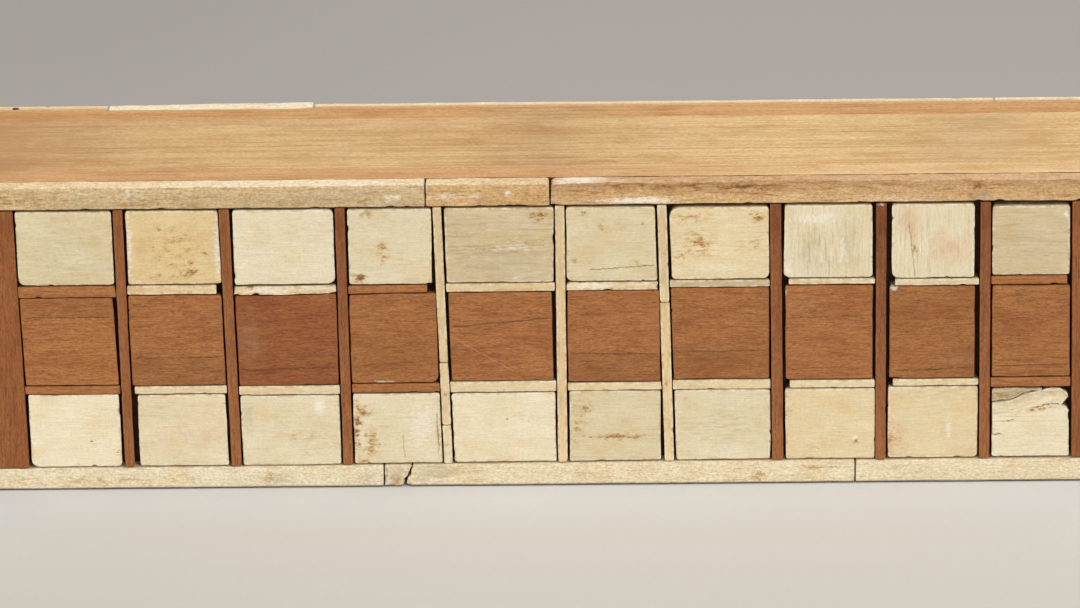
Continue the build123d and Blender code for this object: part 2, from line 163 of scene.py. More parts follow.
@dataclass(frozen=True)
class Looks:
    """What sets one piece apart; its parts, and places along it, may have shades of their own."""

    shade: Shade
    marks: tuple[Mark, ...] = ()
    lines: tuple[Line, ...] = ()
    turned: bool = False
    below_line: float = 1.0
    head: Shade | None = None
    upper: Shade | None = None
    # face: painted shade on a board's face under its inlays, seen down in the gaps.
    face: Shade | None = None
    foot_shadow: Shade | None = None
    root: Shade | None = None
    along: tuple[tuple[float, Shade], ...] = ()


@dataclass(frozen=True)
class Wear:
    """How hand cutting and age have shaped a piece, in millimetres."""

    arris: float = 0.14
    corners: tuple[float, float, float, float] = (0.5,) * 4
    wobble: float = 0.1
    chips: float = 1.6
    chip_depth: float = 0.28
    relief: float = 0.08
    relief_size: Point = (7.0, 5.0)
    ripple: float = 0.02
    crown: float = 0.08
    tilt: float = 0.1
    # Painted shade: how much darker a piece's sides become down in the gaps between pieces.
    gap_shading: float = 0.6
    spread: Point = (0.24, 0.13)
    step: tuple[float, float, float] = (0.42, 0.42, 1.6)
    settled: bool = True


# Wear of a plainly planed board.
PLANED = Wear(
    arris=0.2, corners=(0.3,) * 4, wobble=0.0, crown=0.0, tilt=0.0, gap_shading=0.0, spread=(0.0, 0.0), settled=False
)


def stain(x: float, z: float, across: float, up: float, strength: float = 0.7) -> Mark:
    """A brown stain."""
    return Mark(MarkKind.STAIN, (x, z), (across, up), strength)


def film(x: float, z: float, across: float, up: float, strength: float = 0.6) -> Mark:
    """A greyish film."""
    return Mark(MarkKind.FILM, (x, z), (across, up), strength)


def chalk(x: float, z: float, across: float, up: float, strength: float = 0.8) -> Mark:
    """A whitish rubbed place."""
    return Mark(MarkKind.CHALK, (x, z), (across, up), strength)


def blush(x: float, z: float, across: float, up: float, strength: float = 0.5) -> Mark:
    """A pinkish stain."""
    return Mark(MarkKind.BLUSH, (x, z), (across, up), strength)


def weathered(x: float, z: float, across: float, up: float, strength: float = 0.8) -> Mark:
    """A place where the surface has split into rough grey fibres."""
    return Mark(MarkKind.WEATHERED, (x, z), (across, up), strength)


# ------------------------------------------------------------------ seeded unevenness
class Unevenness:
    """A seeded smooth random field over a plane, between -1 and 1."""

    CELLS = 64

    def __init__(self, seed: int) -> None:
        """Draw the field's lattice.

        Args:
            seed: fixes the field, so that every run gives the same piece.
        """
        self.table = np.random.default_rng(seed).uniform(-1.0, 1.0, (self.CELLS, self.CELLS))

    def at(self, u: np.ndarray, v: np.ndarray | float = 0.0, layers: int = 1) -> np.ndarray:
        """Value of the field.

        Args:
            u: places along the first axis, in cells.
            v: places along the second axis, in cells.
            layers: how many ever finer layers are added up.

        Returns:
            One value for each place.
        """
        total = np.zeros(np.broadcast(u, v).shape)
        weight = 1.0
        weights = 0.0
        for layer in range(layers):
            total = total + weight * self._smooth(u * 2**layer + 7.3 * layer, v * 2**layer + 3.1 * layer)
            weights += weight
            weight *= 0.5
        return total / weights

    def _smooth(self, u: np.ndarray, v: np.ndarray | float) -> np.ndarray:
        """One layer, eased between the lattice's points."""
        u, v = np.broadcast_arrays(np.asarray(u, float), np.asarray(v, float))
        column, row = np.floor(u).astype(int), np.floor(v).astype(int)
        across, up = u - column, v - row
        across, up = across * across * (3 - 2 * across), up * up * (3 - 2 * up)
        low, high = row % self.CELLS, (row + 1) % self.CELLS
        left, right = column % self.CELLS, (column + 1) % self.CELLS
        foot = self.table[left, low] * (1 - across) + self.table[right, low] * across
        head = self.table[left, high] * (1 - across) + self.table[right, high] * across
        return foot * (1 - up) + head * up


# ------------------------------------------------------------------ worn pieces
def stops(length: float, rim: float, step: float) -> np.ndarray:
    """Places along one side of a piece: close together at its rounded rims, then even.

    Args:
        length: the side's length in millimetres.
        rim: radius of its rounded arrises.
        step: spacing between the rims.

    Returns:
        Rising places from 0 to the length.
    """
    close = rim * np.array([0.0, 0.3, 0.65, 1.0])
    edge = 1.4 * rim
    count = max(1, round((length - 2 * edge) / step))
    middle = np.linspace(edge, length - edge, count + 1)
    return np.concatenate([close, middle, length - close[::-1]])


def lattice_faces(index: np.ndarray, hub: int) -> list[tuple[int, ...]]:
    """Faces of a block's surface over a lattice of points, with a fan for its back.

    Args:
        index: number of each surface point, by its place along the three axes.
        hub: number of the point in the middle of the back.

    Returns:
        Faces that look outward where the three axes are right-handed.
    """

    def sheet(grid: np.ndarray, flip: bool) -> list[tuple[int, ...]]:
        """Four-sided faces over one side's grid of point numbers."""
        corners = (grid[:-1, :-1], grid[1:, :-1], grid[1:, 1:], grid[:-1, 1:])
        ordered = corners[::-1] if flip else corners
        return np.stack([c.ravel() for c in ordered], axis=1).tolist()

    faces = sheet(index[:, :, 0], True)
    faces += sheet(index[0, :, :], True) + sheet(index[-1, :, :], False)
    faces += sheet(index[:, 0, :], False) + sheet(index[:, -1, :], True)
    back = index[:, :, -1]
    loop = [*back[:-1, 0], *back[-1, :-1], *back[:0:-1, -1], *back[0, :0:-1]]
    faces += [(hub, int(a), int(b)) for a, b in zip(loop, loop[1:] + loop[:1])]
    return faces


@dataclass
class Slab:
    """One worn piece: four corners in the plane of a face, a thickness, and its own looks."""

    name: str
    corners: np.ndarray
    face: float
    back: float
    wear: Wear
    looks: Looks
    seed: int
    ragged: dict[Side, tuple[Point, ...]] = field(default_factory=dict)

    def __post_init__(self) -> None:
        """Work out the piece's mean size and its random fields."""
        low_left, low_right, up_right, up_left = self.corners
        self.width = float(np.linalg.norm(low_right - low_left) + np.linalg.norm(up_right - up_left)) / 2
        self.height = float(np.linalg.norm(up_left - low_left) + np.linalg.norm(up_right - low_right)) / 2
        self.depth = abs(self.back - self.face)
        self.field = Unevenness(self.seed)
        self.draw = np.random.default_rng(self.seed + 5000)

    def lattice(self) -> tuple[np.ndarray, np.ndarray]:
        """Lay out the piece's surface points.

        Returns:
            The number of each surface point by its place along the axes, and its three places.
        """
        rim = self.wear.arris
        along = [stops(size, rim, step) for size, step in zip((self.width, self.height, self.depth), self.wear.step)]
        shape = tuple(len(axis) for axis in along)
        index = np.full(shape, -1)
        on_surface = np.zeros(shape, bool)
        on_surface[0], on_surface[-1] = True, True
        on_surface[:, 0], on_surface[:, -1] = True, True
        on_surface[:, :, 0] = True
        index[on_surface] = np.arange(on_surface.sum())
        places = np.stack(np.meshgrid(*along, indexing="ij"), axis=-1)[on_surface]
        return index, places

    def worn(self, places: np.ndarray) -> np.ndarray:
        """Round, chip and warp the block.

        Args:
            places: surface points of the sharp block, in millimetres.

        Returns:
            The same points on the worn piece.
        """
        size = np.array([self.width, self.height, self.depth])
        a, b, c = places.T
        wear = self.wear
        radius = wear.arris * (1 + 0.4 * self.field.at(a / 2.6, b / 2.6 + c / 3.0))
        radius = np.minimum(radius, 0.45 * size.min())[:, None]
        kernel = np.clip(places, radius, size - radius)
        offset = places - kernel
        length = np.linalg.norm(offset, axis=1, keepdims=True)
        points = kernel + offset * np.where(length > 0, radius / np.maximum(length, 1e-9), 0.0)
        self._round_corners(points)
        self._ragged_sides(points)
        self._nibble(points, places)
        self._relieve(points, places)
        return points

    def _round_corners(self, points: np.ndarray) -> None:
        """Turn the outline's corners into arcs of their own radii."""
        limit = 0.48 * min(self.width, self.height)
        ends = ((0, 0), (1, 0), (1, 1), (0, 1))
        for corner, (right, up) in zip(self.wear.corners, ends):
            r = min(corner, limit)
            from_side = self.width - points[:, 0] if right else points[:, 0].copy()
            from_foot = self.height - points[:, 1] if up else points[:, 1].copy()
            x, z = r - from_side, r - from_foot
            inside = (x > 0) & (z > 0)
            share = np.where(inside, np.maximum(x, z) / np.maximum(np.hypot(x, z), 1e-9), 1.0)
            from_side = np.where(inside, r - x * share, from_side)
            from_foot = np.where(inside, r - z * share, from_foot)
            points[:, 0] = self.width - from_side if right else from_side
            points[:, 1] = self.height - from_foot if up else from_foot

    def _ragged_sides(self, points: np.ndarray) -> None:
        """Draw whole sides in along a broken outline."""
        for side, outline in self.ragged.items():
            places, depths = np.array(outline).T
            upright = side in (Side.LEFT, Side.RIGHT)
            axis, other, size = (0, 1, self.width) if upright else (1, 0, self.height)
            depth = np.interp(points[:, other], places, depths)
            fine = 0.16 * self.field.at(points[:, other] / 0.7, points[:, 2] / 0.9 + 11.0, 2)
            depth = np.maximum(depth + fine * (depth > 0.15), 0.0)
            if side in (Side.RIGHT, Side.TOP):
                points[:, axis] *= (size - depth) / size
            else:
                points[:, axis] = depth + points[:, axis] * (size - depth) / size

    def _nibble(self, points: np.ndarray, places: np.ndarray) -> None:
        """Waver the four sides and take small chips out of them."""
        a, b, c = places.T
        wear = self.wear
        sides = {
            Side.LEFT: (b, a, 0, 1.0, self.height),
            Side.RIGHT: (b, self.width - a, 0, -1.0, self.height),
            Side.BOTTOM: (a, b, 1, 1.0, self.width),
            Side.TOP: (a, self.height - b, 1, -1.0, self.width),
        }
        for number, (along, inward, axis, way, length) in enumerate(sides.values()):
            near = np.exp(-inward / 0.8) * np.exp(-c / 4.0)
            wave = self.field.at(along / 5.5, 13.0 * number + 2.0, 3)
            swell = wear.spread[axis] * self.draw.uniform(0.65, 1.25)
            points[:, axis] += way * (wear.wobble * (0.35 + wave) - swell) * near
            share = length / (self.width + self.height) * 2
            for _ in range(self.draw.poisson(wear.chips * share / 4)):
                place = self.draw.uniform(0, length)
                half = self.draw.uniform(0.3, 1.3)
                deep = wear.chip_depth * self.draw.uniform(0.3, 1.0)
                away = (along - place) / half
                away = np.where(away > 0, away, away * self.draw.uniform(0.6, 2.2))
                dent = np.clip(1 - away**2, 0, None) ** 0.8 * np.exp(-inward / 0.35) * np.exp(-c / 0.7)
                points[:, axis] += way * deep * dent
                points[:, 2] += 0.8 * deep * dent

    def _relieve(self, points: np.ndarray, places: np.ndarray) -> None:
        """Give the face, the top and the ends the slight hills of a hand-worked surface."""
        a, b, c = places.T
        wear = self.wear
        wide, high = wear.relief_size
        front = np.exp(-c / 0.6)
        hills = 0.5 + 0.5 * self.field.at(a / wide + 5.0, b / high + 9.0, 3)
        along, across = (b, a) if self.looks.turned else (a, b)
        ripples = self.field.at(along / 9.0, across / 1.1, 2)
        middle = 1 - np.clip(np.minimum.reduce([a, self.width - a, b, self.height - b]) / 3.0, 0, 1)
        lean = self.draw.uniform(-1, 1) * (a / self.width) + self.draw.uniform(-1, 1) * (b / self.height)
        for mark in self.looks.marks:
            if mark.kind is MarkKind.WEATHERED:
                share = mark.strength * self._nearness(mark, a / self.width, b / self.height)
                hills = hills + 5.0 * share * (0.5 + 0.5 * self.field.at(along / 3.5, across / 0.55, 3))
        points[:, 2] += front * (wear.relief * hills + wear.ripple * ripples + wear.crown * middle**2)
        points[:, 2] += front * wear.tilt * (0.5 + 0.5 * lean)
        upper = np.exp(-(self.height - b) / 0.5)
        lower = np.exp(-b / 0.5)
        edge_hills = wear.relief * (0.5 + 0.5 * self.field.at(a / 5.0, c / 1.6 + 21.0, 3))
        points[:, 1] += (lower - upper) * edge_hills
        ends = np.exp(-a / 0.5) - np.exp(-(self.width - a) / 0.5)
        points[:, 0] += ends * wear.relief * (0.5 + 0.5 * self.field.at(b / 3.0, c / 2.0 + 33.0, 3))

    @staticmethod
    def _nearness(mark: Mark, u: np.ndarray, v: np.ndarray) -> np.ndarray:
        """How strongly a mark shows at each place, 1 in its middle."""
        return np.exp(-(((u - mark.at[0]) / mark.reach[0]) ** 2) - ((v - mark.at[1]) / mark.reach[1]) ** 2)

    def _in_frame(self, points: np.ndarray) -> np.ndarray:
        """Carry points of the block to their place in the box's frame, in millimetres."""
        u, v = (points[:, 0] / self.width)[:, None], (points[:, 1] / self.height)[:, None]
        low_left, low_right, up_right, up_left = self.corners
        foot = low_left * (1 - u) + low_right * u
        head = up_left * (1 - u) + up_right * u
        flat = foot * (1 - v) + head * v
        if self.face < 0 and self.wear.settled:
            sunk = np.interp(flat[:, 1], *SETTLING) * np.interp(flat[:, 0], (-60.0, 20.0), (1.0, 0.5))
            flat[:, 1] -= sunk + np.interp(flat[:, 1], *LEFT_SETTLING) * np.interp(
                flat[:, 0], (-60.0, -35.0), (1.0, 0.0)
            )
        inward = math.copysign(1.0, self.back - self.face)
        return np.stack([flat[:, 0], self.face + inward * points[:, 2], flat[:, 1]], axis=1)

    def _attributes(self, places: np.ndarray, placed: np.ndarray) -> dict[str, np.ndarray]:
        """Values that the finishes read at each point.

        Args:
            places: points on the sharp block.
            placed: the same points on the worn piece, in the box's frame.

        Returns:
            Three numbers a point for each named attribute.
        """
        a, b, c = places.T
        u, v = a / self.width, b / self.height
        x, y, z = placed.T
        shift = 41.7 * (self.seed % 97)
        order = (z, x, y) if self.looks.turned else (x, z, y)
        values = {
            "place": np.stack([order[0] + shift, order[1] + 0.37 * shift, order[2]], axis=1),
            "marks": np.zeros((len(a), 3)),
            "more": np.zeros((len(a), 3)),
        }
        on_face = np.exp(-c / 1.5)
        for mark in self.looks.marks:
            name, channel = mark.kind.value
            amount = mark.strength * self._nearness(mark, u, v)
            # A mark at the upper edge runs on over the upper side.
            amount = amount if mark.at[1] >= 0.95 else amount * on_face
            values[name][:, channel] = np.maximum(values[name][:, channel], amount)
        end_distance = np.minimum(b, self.height - b) if self.looks.turned else np.minimum(a, self.width - a)
        values["more"][:, 2] = np.exp(-end_distance / 0.12)
        rim = np.minimum.reduce([a, self.width - a, b, self.height - b]) + c
        values["rim"] = np.stack([rim, v, np.full_like(a, self.draw.random())], axis=1)
        tone = 1 + 0.02 * self.draw.uniform(-1, 1)
        tint = self._tint(u, b, c) * tone
        for number in (0, 1):
            values[f"line_{number}"] = self._line_values(number, a, b)
        if self.looks.lines and self.looks.below_line != 1.0:
            below = 1 / (1 + np.exp(values["line_0"][:, :1] / 0.12))
            tint = tint * (1 + (self.looks.below_line - 1) * below)
        values["tint"] = tint
        return values

    def _tint(self, u: np.ndarray, b: np.ndarray, c: np.ndarray) -> np.ndarray:
        """Base colour at each point, from its foot to its head, with painted shade down in the gaps, on a board's face
        under the inlays and along a rail's foot.

        Args:
            u: shares of the way along the piece.
            b: heights up the piece.
            c: depths below its face.

        Returns:
            Linear red, green and blue for each point.
        """
        looks = self.looks
        places, shades = zip(*(looks.along or ((0.0, looks.shade),)))
        colours = np.array([shade.linear()[:3] for shade in shades])
        tint = np.stack([np.interp(u, places, channel) for channel in colours.T], axis=1)
        from_head = self.height - b
        shares = (
            (looks.head, b / self.height),
            (looks.upper, np.exp(-from_head / 0.14)),
            # Painted shade on the face under the inlays, seen in the gaps.
            (looks.face, np.exp(-((c / 0.4) ** 2)) * (from_head > 0.05)),
            # Painted contact shadow along the foot.
            (looks.foot_shadow, np.exp(-((b / 0.55) ** 4))),
            (looks.root, np.clip((c / self.depth - 0.45) / 0.3, 0, 1)),
        )
        for shade, share in shares:
            if shade is not None:
                tint += (np.array(shade.linear()[:3]) - tint) * share[:, None]
        # Painted shade: the sides darken the deeper they go into the gaps.
        return tint * (1 - self.wear.gap_shading * np.clip((c - 0.2) / 1.2, 0, 1))[:, None]

    def _line_values(self, number: int, a: np.ndarray, b: np.ndarray) -> np.ndarray:
        """Distance from one of the piece's lines, how far beyond its ends, and its strength."""
        if number >= len(self.looks.lines):
            return np.tile([99.0, 99.0, 0.0], (len(a), 1))
        line = self.looks.lines[number]
        size = np.array([self.width, self.height])
        start, end = np.array(line.start) * size, np.array(line.end) * size
        length = float(np.linalg.norm(end - start))
        way = (end - start) / length
        x, z = a - start[0], b - start[1]
        along = x * way[0] + z * way[1]
        beyond = np.abs(along - length / 2) - length / 2
        return np.stack([z * way[0] - x * way[1], beyond, np.full_like(a, line.strength)], axis=1)

    def make(self) -> bpy.types.Object:
        """Build the piece.

        Returns:
            A mesh object in the box's frame, in metres, with the attributes that finishes read.
        """
        index, places = self.lattice()
        placed = self._in_frame(self.worn(places))
        values = self._attributes(places, placed)
        hub = len(placed)
        middle = self.corners.mean(axis=0)
        placed = np.vstack([placed, [middle[0], self.back, middle[1]]])
        faces = lattice_faces(index, hub)
        if self.back > self.face:
            faces = [tuple(reversed(f)) for f in faces]
        mesh = bpy.data.meshes.new(self.name)
        mesh.from_pydata((placed * MM).tolist(), [], faces)
        for name, numbers in values.items():
            attribute = mesh.attributes.new(name, "FLOAT_VECTOR", "POINT")
            attribute.data.foreach_set("vector", np.vstack([numbers, numbers[-1:]]).ravel())
        mesh.shade_smooth()
        mesh.update()
        made = bpy.data.objects.new(self.name, mesh)
        bpy.context.scene.collection.objects.link(made)
        return made


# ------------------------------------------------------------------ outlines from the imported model
def loose_parts(node: str) -> list[np.ndarray]:
    """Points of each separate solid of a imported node.

    Args:
        node: the node's name.

    Returns:
        One array of points for each solid, in millimetres.
    """
    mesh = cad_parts[node].data
    points = np.array([v.co for v in mesh.vertices]) * 1000
    _, first, same = np.unique(np.round(points, 3), axis=0, return_index=True, return_inverse=True)
    same = same.ravel()
    parent = list(range(len(first)))

    def root(item: int) -> int:
        """The first point of the solid that a point belongs to."""
        while parent[item] != item:
            parent[item] = parent[parent[item]]
            item = parent[item]
        return item

    for polygon in mesh.polygons:
        anchor = root(same[polygon.vertices[0]])
        for vertex in polygon.vertices[1:]:
            parent[root(same[vertex])] = anchor
    groups: dict[int, list[int]] = {}
    for item, point in enumerate(first):
        groups.setdefault(root(item), []).append(point)
    return [points[members] for members in groups.values()]


def four_corners(flat: np.ndarray) -> np.ndarray:
    """The four-sided outline round some points, with clipped corners made whole again.

    Args:
        flat: points in the plane of a face.

    Returns:
        Corners from the lower left, anticlockwise.
    """
    hull = flat[geometry.convex_hull_2d([tuple(p) for p in flat])]
    kept = []
    for before, here, after in zip(np.roll(hull, 1, axis=0), hull, np.roll(hull, -1, axis=0)):
        first, second = here - before, after - here
        if abs(first[0] * second[1] - first[1] * second[0]) > 1e-3:
            kept.append(here)
    hull = np.array(kept)
    following = np.roll(hull, -1, axis=0)
    longest = sorted(np.argsort(np.linalg.norm(following - hull, axis=1))[-4:])
    corners = []
    for one, other in zip(longest, longest[1:] + longest[:1]):
        p, q = hull[one], hull[other]
        d, e = following[one] - p, following[other] - q
        share = ((q[0] - p[0]) * e[1] - (q[1] - p[1]) * e[0]) / (d[0] * e[1] - d[1] * e[0])
        corners.append(p + d * share)
    corners = np.array(corners)
    middle = corners.mean(axis=0)
    turn = np.arctan2(*(corners - middle).T[::-1])
    corners = corners[np.argsort(turn)]
    return corners


@dataclass
class Outline:
    """A packed inlay's four corners, its outer face and the plane that it is laid on."""

    corners: np.ndarray
    face: float
    back: float

    @property
    def middle(self) -> np.ndarray:
        """The middle of its outline."""
        return self.corners.mean(axis=0)


def outlines(node: str, whole: bool = False) -> list[Outline]:
    """Outlines of a node's inlays, from left to right and from the bottom up.

    Args:
        node: the node's name.
        whole: take all of its solids as one broken piece.

    Returns:
        One outline for each solid.
    """
    parts = loose_parts(node)
    if whole:
        parts = [np.vstack(parts)]
    found = []
    for points in parts:
        low, high = points[:, 1].min(), points[:, 1].max()
        face, back = (low, high) if low + high < 0 else (high, low)
        laid = np.abs(points[:, 1] - back) < 0.01
        found.append(Outline(four_corners(points[laid][:, [0, 2]]), face, back))
    return sorted(found, key=lambda o: (round(o.middle[0], 1), o.middle[1]))


# Where the last column of the senet face begins along X, and a height inside its middle row (mm).
LAST_COLUMN = 100.0
MIDDLE_ROW = 40.0


def block_outline(node: str, low: Point | None = None, high: Point | None = None) -> Outline:
    """Outline of a plain board from its packed box.

    Args:
        node: the node's name.
        low: least X and Z to use instead of the node's own.
        high: greatest X and Z to use instead of the node's own.

    Returns:
        Its outline, with its face towards -Y.
    """
    least, most = (np.array(corner) * 1000 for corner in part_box(node))
    left, foot = low or (least[0], least[2])
    right, head = high or (most[0], most[2])
    corners = np.array([(left, foot), (right, foot), (right, head), (left, head)])
    return Outline(corners, least[1], most[1])


# ------------------------------------------------------------------ shader graphs
class Graph:
    """Short words for laying out one node tree."""

    def __init__(self, tree: bpy.types.NodeTree) -> None:
        """Hold the tree that nodes are added to."""
        self.tree = tree

    def add(self, kind: str, **settings: object) -> bpy.types.Node:
        """Add a node with its settings."""
        node = self.tree.nodes.new(kind)
        for name, value in settings.items():
            setattr(node, name, value)
        return node

    def feed(self, target: Socket, source: object) -> None:
        """Give a socket a wire or a constant."""
        if isinstance(source, bpy.types.NodeSocket):
            self.tree.links.new(source, target)
        else:
            target.default_value = source

    def math(self, operation: str, first: object, second: object = 0.0, clamp: bool = False) -> Socket:
        """One arithmetic step on values."""
        node = self.add("ShaderNodeMath", operation=operation, use_clamp=clamp)
        self.feed(node.inputs[0], first)
        self.feed(node.inputs[1], second)
        return node.outputs[0]

    def plus(self, first: object, second: object) -> Socket:
        """The sum of two values."""
        return self.math("ADD", first, second)

    def less(self, first: object, second: object) -> Socket:
        """The first value less the second."""
        return self.math("SUBTRACT", first, second)

    def times(self, first: object, second: object, clamp: bool = False) -> Socket:
        """The product of two values."""
        return self.math("MULTIPLY", first, second, clamp)

    def vector(self, operation: str, first: object, second: object) -> Socket:
        """One step on vectors."""
        node = self.add("ShaderNodeVectorMath", operation=operation)
        self.feed(node.inputs[0], first)
        self.feed(node.inputs[3 if operation == "SCALE" else 1], second)
        return node.outputs[0]

    def stretch(self, place: object, factors: object) -> Socket:
        """A vector with each of its numbers times a factor of its own."""
        return self.vector("MULTIPLY", place, factors)

    def scale(self, value: object, factor: object) -> Socket:
        """A vector times one value."""
        return self.vector("SCALE", value, factor)

    def split(self, value: object) -> tuple[Socket, Socket, Socket]:
        """The three numbers of a vector."""
        node = self.add("ShaderNodeSeparateXYZ")
        self.feed(node.inputs[0], value)
        return tuple(node.outputs)

    def join(self, x: object, y: object, z: object) -> Socket:
        """A vector of three numbers."""
        node = self.add("ShaderNodeCombineXYZ")
        for target, source in zip(node.inputs, (x, y, z)):
            self.feed(target, source)
        return node.outputs[0]

    def noise(self, place: object, scale: object = 1.0, detail: float = 2.0, rough: float = 0.55) -> Socket:
        """A noise between 0 and 1 at a place."""
        node = self.add("ShaderNodeTexNoise")
        self.feed(node.inputs["Vector"], place)
        self.feed(node.inputs["Scale"], scale)
        self.feed(node.inputs["Detail"], detail)
        self.feed(node.inputs["Roughness"], rough)
        return node.outputs[0]

    def ease(self, value: object, low: object, high: object, start: object = 0.0, end: object = 1.0) -> Socket:
        """Carry a value smoothly from one range to another."""
        node = self.add("ShaderNodeMapRange", interpolation_type="SMOOTHSTEP")
        for target, source in zip(node.inputs, (value, low, high, start, end)):
            self.feed(target, source)
        return node.outputs[0]

    def blend(self, share: object, first: object, second: object, way: str = "MIX") -> Socket:
        """Mix two colours."""
        node = self.add("ShaderNodeMix", data_type="RGBA", blend_type=way, clamp_factor=True)
        self.feed(node.inputs["Factor"], share)
        self.feed(node.inputs[6], first)
        self.feed(node.inputs[7], second)
        return node.outputs[2]

    def dyed(self, colour: object, dye: tuple[float, float, float]) -> Socket:
        """A colour times another."""
        return self.blend(1.0, colour, (*dye, 1.0), "MULTIPLY")

    def cover(self, colour: object, mask: object, most: float, shade: Shade) -> Socket:
        """Lay a shade over a colour, at most by the share given, where a mask lets it."""
        return self.blend(self.times(mask, most), colour, shade.linear())

    def roughen(self, shader: bpy.types.Node, height: Socket, strength: float, depth: float) -> None:
        """Let a shader's normals follow a height, whose depth is given in millimetres."""
        bump = self.add("ShaderNodeBump")
        bump.inputs["Strength"].default_value = strength
        bump.inputs["Distance"].default_value = depth * MM
        self.feed(bump.inputs["Height"], height)
        self.feed(shader.inputs["Normal"], bump.outputs[0])

    def attribute(self, name: str) -> Socket:
        """The three numbers that a piece carries under a name."""
        return self.add("ShaderNodeAttribute", attribute_name=name).outputs["Vector"]

    def use(self, group: bpy.types.NodeTree, **inputs: object) -> dict[str, Socket]:
        """Place a node group.

        Args:
            group: the group's tree.
            inputs: a wire or constant for each of its named inputs.

        Returns:
            The group's outputs by name.
        """
        node = self.add("ShaderNodeGroup", node_tree=group)
        for name, source in inputs.items():
            self.feed(node.inputs[name], source)
        return {output.name: output for output in node.outputs}


class GroupKit:
    """The effects that several finishes share, each built once as a node group."""

    KINDS = {"Vector": "NodeSocketVector", "Float": "NodeSocketFloat", "Color": "NodeSocketColor"}

    def __init__(self) -> None:
        """Build every group."""
        self.fibres = self._fibres()
        self.patch = self._patch()
        self.rim_wear = self._rim_wear()
        self.drawn_line = self._drawn_line()
        self.specks = self._specks()
        self.weave = self._weave()
        self.stained = self._stained()

    def _new(self, name: str, inputs: dict[str, str], outputs: dict[str, str]) -> tuple:
        """Start a group.

        Args:
            name: the group's name.
            inputs: kind of each named input.
            outputs: kind of each named output.

        Returns:
            The tree, its graph, its inputs by name and its output node.
        """
        tree = bpy.data.node_groups.new(name, "ShaderNodeTree")
        for label, kind in inputs.items():
            tree.interface.new_socket(label, in_out="INPUT", socket_type=self.KINDS[kind])
        for label, kind in outputs.items():
            tree.interface.new_socket(label, in_out="OUTPUT", socket_type=self.KINDS[kind])
        graph = Graph(tree)
        entry = graph.add("NodeGroupInput")
        leave = graph.add("NodeGroupOutput")
        return tree, graph, {socket.name: socket for socket in entry.outputs}, leave

    def _fibres(self) -> bpy.types.NodeTree:
        """Streaks, pores and broad bands that run along a piece's grain."""
        inputs = {"Place": "Vector", "Length": "Float", "Spacing": "Float"}
        outputs = {"Streak": "Float", "Pore": "Float", "Band": "Float"}
        tree, graph, given, leave = self._new("Fibres along the grain", inputs, outputs)
        along = graph.math("DIVIDE", 1.0, given["Length"])
        across = graph.math("DIVIDE", 1.0, given["Spacing"])
        sway = graph.noise(graph.stretch(given["Place"], (0.03, 0.09, 0.09)), 1.0, 2.0)
        swayed = graph.vector("ADD", given["Place"], graph.join(0.0, graph.times(sway, 3.0), 0.0))
        stretched = graph.stretch(swayed, graph.join(along, across, across))
        streak = graph.noise(stretched, 1.0, 3.0, 0.6)
        short = graph.stretch(stretched, (2.6, 1.3, 1.3))
        pore = graph.ease(graph.noise(short, 1.0, 2.0), 0.56, 0.68)
        broad = graph.stretch(stretched, (0.4, 0.26, 0.26))
        band = graph.noise(broad, 1.0, 2.0)
        for name, source in (("Streak", streak), ("Pore", pore), ("Band", band)):
            graph.feed(leave.inputs[name], source)
        return tree

    def _patch(self) -> bpy.types.NodeTree:
        """A patch with a broken edge: nothing where the amount is 0, whole where it is 1."""
        inputs = {"Place": "Vector", "Amount": "Float", "Grain": "Vector", "Softness": "Float"}
        tree, graph, given, leave = self._new("Broken patch", inputs, {"Mask": "Float"})
        rough = graph.noise(graph.stretch(given["Place"], given["Grain"]), 1.0, 4.0, 0.65)
        level = graph.plus(given["Amount"], graph.times(graph.less(rough, 0.5), 1.9))
        low = graph.less(0.5, given["Softness"])
        high = graph.plus(0.5, given["Softness"])
        held = graph.ease(given["Amount"], 0.02, 0.2)
        graph.feed(leave.inputs["Mask"], graph.times(graph.ease(level, low, high), held))
        return tree

    def _rim_wear(self) -> bpy.types.NodeTree:
        """Dirt caught along a piece's rim, and the rubbed arris outside it, lightened partly as wear and partly as a
        painted highlight.
        """
        inputs = {"Place": "Vector", "Rim": "Float", "Reach": "Float"}
        tree, graph, given, leave = self._new("Rim wear", inputs, {"Dirt": "Float", "Rubbed_highlight": "Float"})
        rough = graph.noise(given["Place"], 0.7, 3.0)
        reach = graph.times(given["Reach"], graph.ease(rough, 0.4, 0.75, 0.3, 1.6))
        dirt = graph.times(graph.ease(given["Rim"], 0.0, reach, 1.0, 0.0), graph.ease(rough, 0.35, 0.6))
        rubbed = graph.times(graph.ease(given["Rim"], 0.15, 0.55, 1.0, 0.0), graph.ease(rough, 0.6, 0.35))
        graph.feed(leave.inputs["Dirt"], dirt)
        graph.feed(leave.inputs["Rubbed_highlight"], rubbed)
        return tree

    def _drawn_line(self) -> bpy.types.NodeTree:
        """A crack, seam or scratch from the distances that a piece carries."""
        inputs = {"Place": "Vector", "Line": "Vector", "Width": "Float"}
        tree, graph, given, leave = self._new("Drawn line", inputs, {"Dark": "Float", "Pale": "Float"})
        distance, beyond, strength = graph.split(given["Line"])
        waver = graph.noise(given["Place"], 0.45, 4.0)
        shifted = graph.plus(distance, graph.times(graph.less(waver, 0.5), 0.8))
        ends = graph.ease(beyond, -1.2, 0.0, 1.0, 0.0)
        wide = graph.times(given["Width"], graph.ease(graph.noise(given["Place"], 1.7, 1.0), 0.3, 0.7, 0.5, 1.3))
        core = graph.ease(graph.math("ABSOLUTE", shifted), 0.0, wide, 1.0, 0.0)
        mask = graph.times(core, ends)
        graph.feed(leave.inputs["Dark"], graph.times(mask, strength, clamp=True))
        graph.feed(leave.inputs["Pale"], graph.times(mask, graph.times(strength, -1.0), clamp=True))
        return tree

